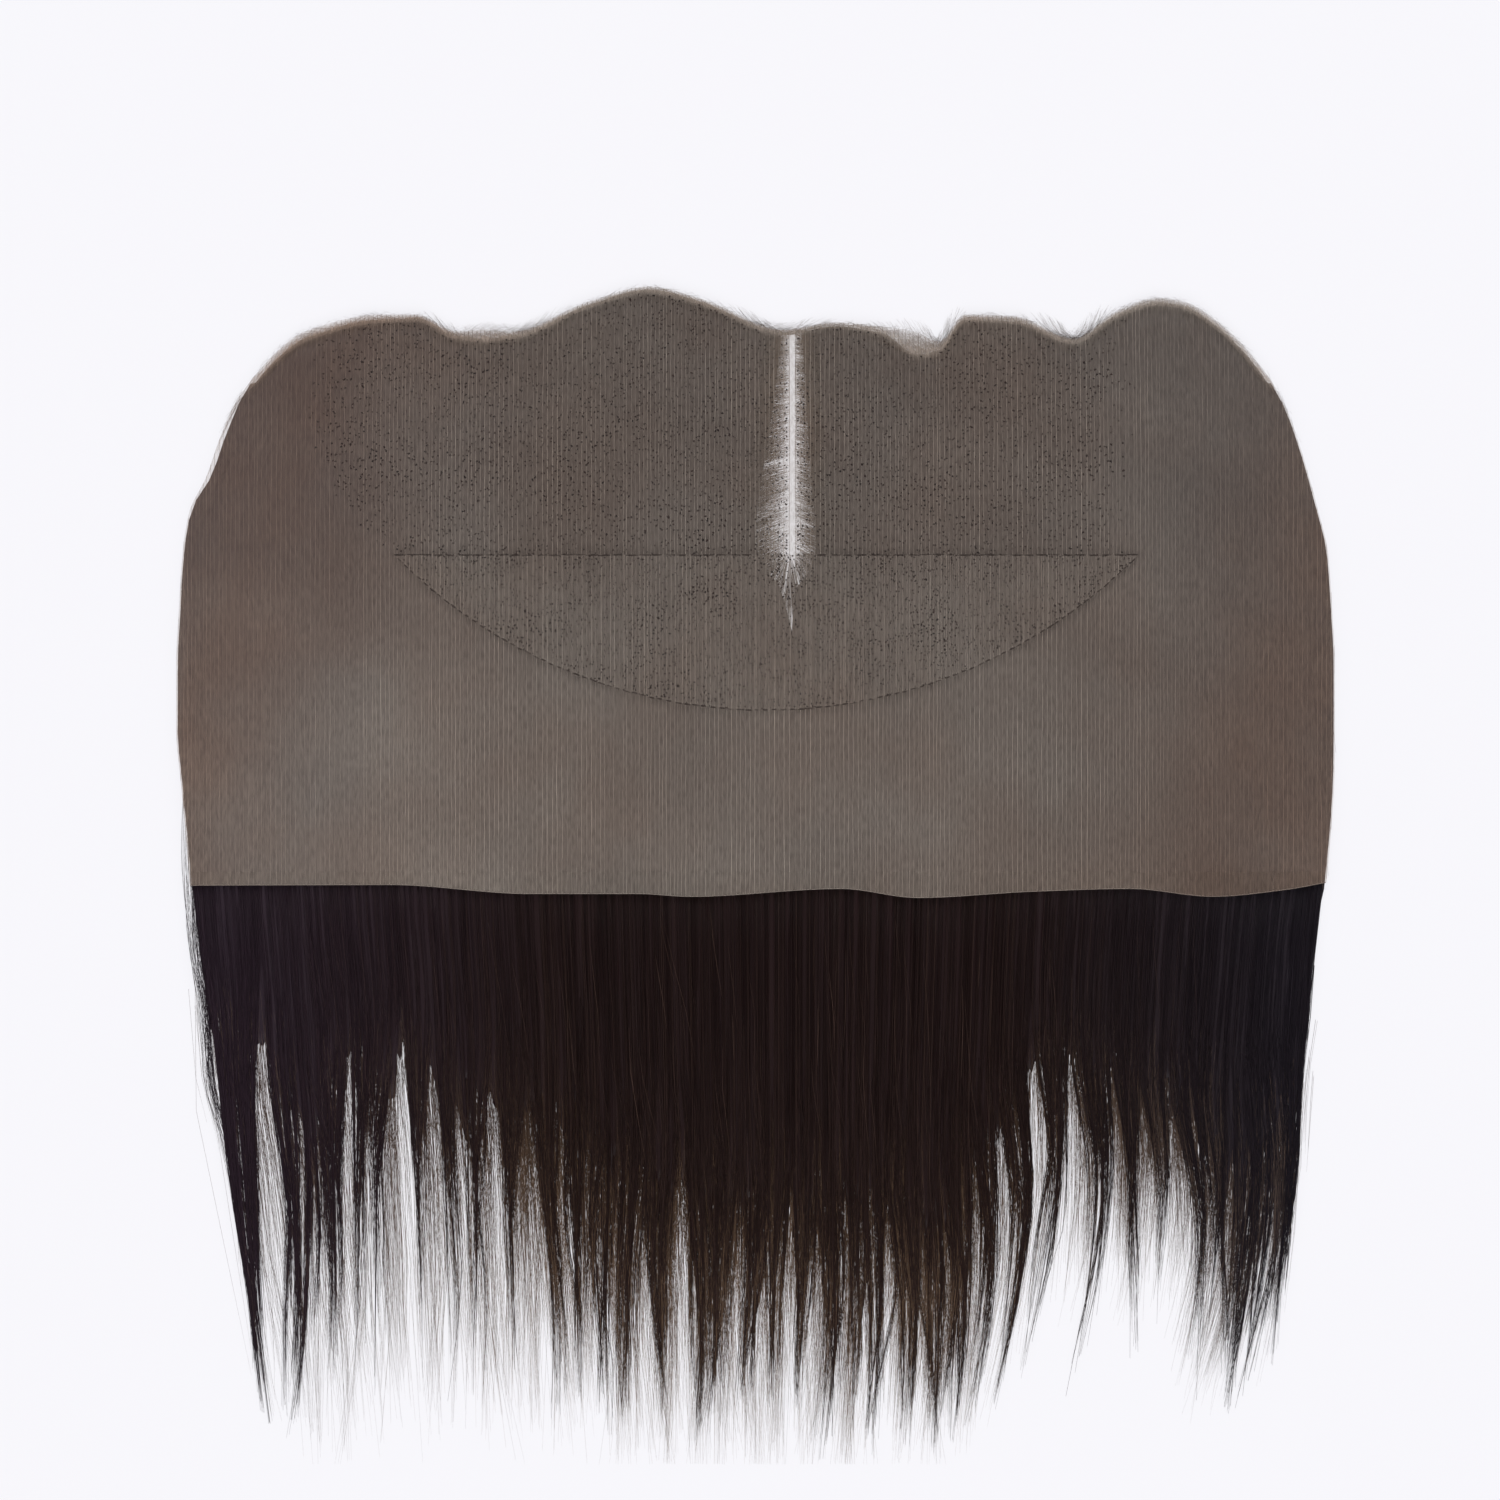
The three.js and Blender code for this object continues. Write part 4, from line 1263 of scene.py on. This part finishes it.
x = fan_x + reach * np.cos(angle[:, None] + closing)
y = fan_y + reach * np.sin(angle[:, None] + closing) * fan_stretch
height = mix(1.0, 2.2, share) * mm + rng.uniform(0, 0.5, fan_hairs)[:, None] * mm
radii = strand_radii(fan_hairs, len(share), 0.035, 0.055, thin_root)
paths = np.stack([x, y, height], axis=2)
tube_piece("parting_fan", hair_strands, "hair", paths, radii, rng.uniform(0.5, 1, fan_hairs))

# %% [markdown]
# ## Baby hair and flyaways
# The edge of the net is softened by hairs that lie along it, and the hairline by short soft hairs that
# stand out past it as a faint halo, most of all across its dips. A few long hairs have strayed from
# the left side of the fall.

# %% The outline as one line
side_points, front_points = 200, 500
dip_window, normal_window = 119, 41
front_without_ends = ([60, 90, 410, 440], [0, 1, 1, 0])


def smoothed(values, window):
    """The values, each averaged with those in a window round it."""
    weights = np.hanning(window + 2)[1:-1]
    return np.convolve(np.pad(values, window // 2, mode="edge"), weights / weights.sum(), mode="valid")


def outline_path():
    """The net's outline from the left hem corner over the front to the right one, and its dips."""
    y = np.linspace(hem_y, hem_y + shoulder_up * net_depth, side_points)
    x = np.linspace(sides["left"][-1], sides["right"][-1], front_points) * net_width
    front = front_y(x)
    # The smoothing bends the front's steep ends, so no dip counts there.
    off_ends = np.interp(np.arange(front_points), *front_without_ends)
    dip = np.clip(smoothed(front, dip_window) - front, 0, None) * off_ends
    dip = np.pad(dip, side_points)
    path_x = np.concatenate([side_x("left", y), x, side_x("right", y)[::-1]])
    path_y = np.concatenate([y, front, y[::-1]])
    length = np.concatenate([[0], np.cumsum(np.hypot(np.diff(path_x), np.diff(path_y)))])
    return path_x, path_y, dip, length


path_x, path_y, path_dip, path_length = outline_path()
shoulder_end = path_y[side_points - 1]
normal_x = -np.gradient(path_y)
normal_y = np.gradient(path_x)
normal_size = np.hypot(normal_x, normal_y) + 1e-9
normal_x = smoothed(normal_x / normal_size, normal_window)
normal_y = smoothed(normal_y / normal_size, normal_window)


def by_outline(along, outward):
    """The point at a distance along the outline and outward from it."""
    x = np.interp(along, path_length, path_x) + outward * np.interp(along, path_length, normal_x)
    y = np.interp(along, path_length, path_y) + outward * np.interp(along, path_length, normal_y)
    return x, y


def edge_hairs(name, along, sweep, root, tip, radius):
    """Short hairs that start at root and end at tip, outward from the outline, swept along it."""
    count = len(along)
    share = np.linspace(0, 1, 3)
    at = np.clip(along[:, None] + sweep[:, None] * share, 0, path_length[-1])
    x, y = by_outline(at, mix(root[:, None], tip[:, None], share))
    height = mix(1.6, 1.0, share) * mm + rng.uniform(-0.4, 0.6, count)[:, None] * mm
    radii = radius * np.interp(share, [0, 1], [1, 0.5]) * np.ones((count, 1))
    tones = rng.uniform(0.1, 0.4, count)
    return tube_piece(name, hair_fine, "hair", np.stack([x, y, height], axis=2), radii, tones)


# %% Baby hair
baby_count, baby_length, halo_width = 4600, 0.9 * mm, 1.2 * mm
path_bare = bare_width(path_x) * (path_y > shoulder_end)
weight = (1 + 2 * (path_bare + path_dip) / (1 * mm)) * (np.abs(np.arange(len(path_x)) - 450) < 270)
along = rng.choice(path_length, baby_count, p=weight / weight.sum()) + rng.normal(0, 0.5, baby_count) * mm
dip = np.interp(along, path_length, path_dip)
bare = np.interp(along, path_length, path_bare)
root = -bare - rng.random(baby_count) * 1 * mm
outward = rng.exponential(1, baby_count) * (baby_length + 0.4 * (bare + dip))
edge_hairs(
    "baby_hair",
    along,
    rng.choice([-1, 1], baby_count) * rng.uniform(3, 9, baby_count) * mm,
    root,
    np.minimum(root + outward, halo_width * rng.random(baby_count) ** 0.7 + 0.7 * dip),
    0.024 * mm,
)

edge_count = 240
along = rng.uniform(0, path_length[-1], edge_count)
bare = np.interp(along, path_length, path_bare)
edge_hairs(
    "edge_hair",
    along,
    rng.choice([-1, 1], edge_count) * rng.uniform(4, 14, edge_count) * mm,
    rng.normal(-0.6, 0.4, edge_count) * mm - bare,
    rng.normal(-0.4, 0.3, edge_count) * mm - bare * rng.random(edge_count),
    0.03 * mm,
)

# %% Flyaways
fly_count, fly_steps, fly_radius = 90, 10, 0.04 * mm
first = rng.uniform(-0.2, 0.3, fly_count)
last = first + rng.uniform(0.2, 0.5, fly_count)
down = mix(first[:, None], last[:, None], np.linspace(0, 1, fly_steps))
y = hem_y - fall * down
bulge = np.sin(math.pi * np.linspace(0, 1, fly_steps)) * rng.uniform(0.5, 3.5, fly_count)[:, None] * mm
edge_x = np.where(y > hem_y, side_x("left", y), fall_side_x("left", y))
x = edge_x + 1 * mm - bulge
height = 1.0 * mm + rng.uniform(0, 0.6, fly_count)[:, None] * mm + 0 * x
paths = np.stack([x, y, height], axis=2)
radii = np.full(x.shape, fly_radius)
tube_piece("flyaways_left", hair_strands, "hair", paths, radii, rng.uniform(0.3, 0.8, fly_count))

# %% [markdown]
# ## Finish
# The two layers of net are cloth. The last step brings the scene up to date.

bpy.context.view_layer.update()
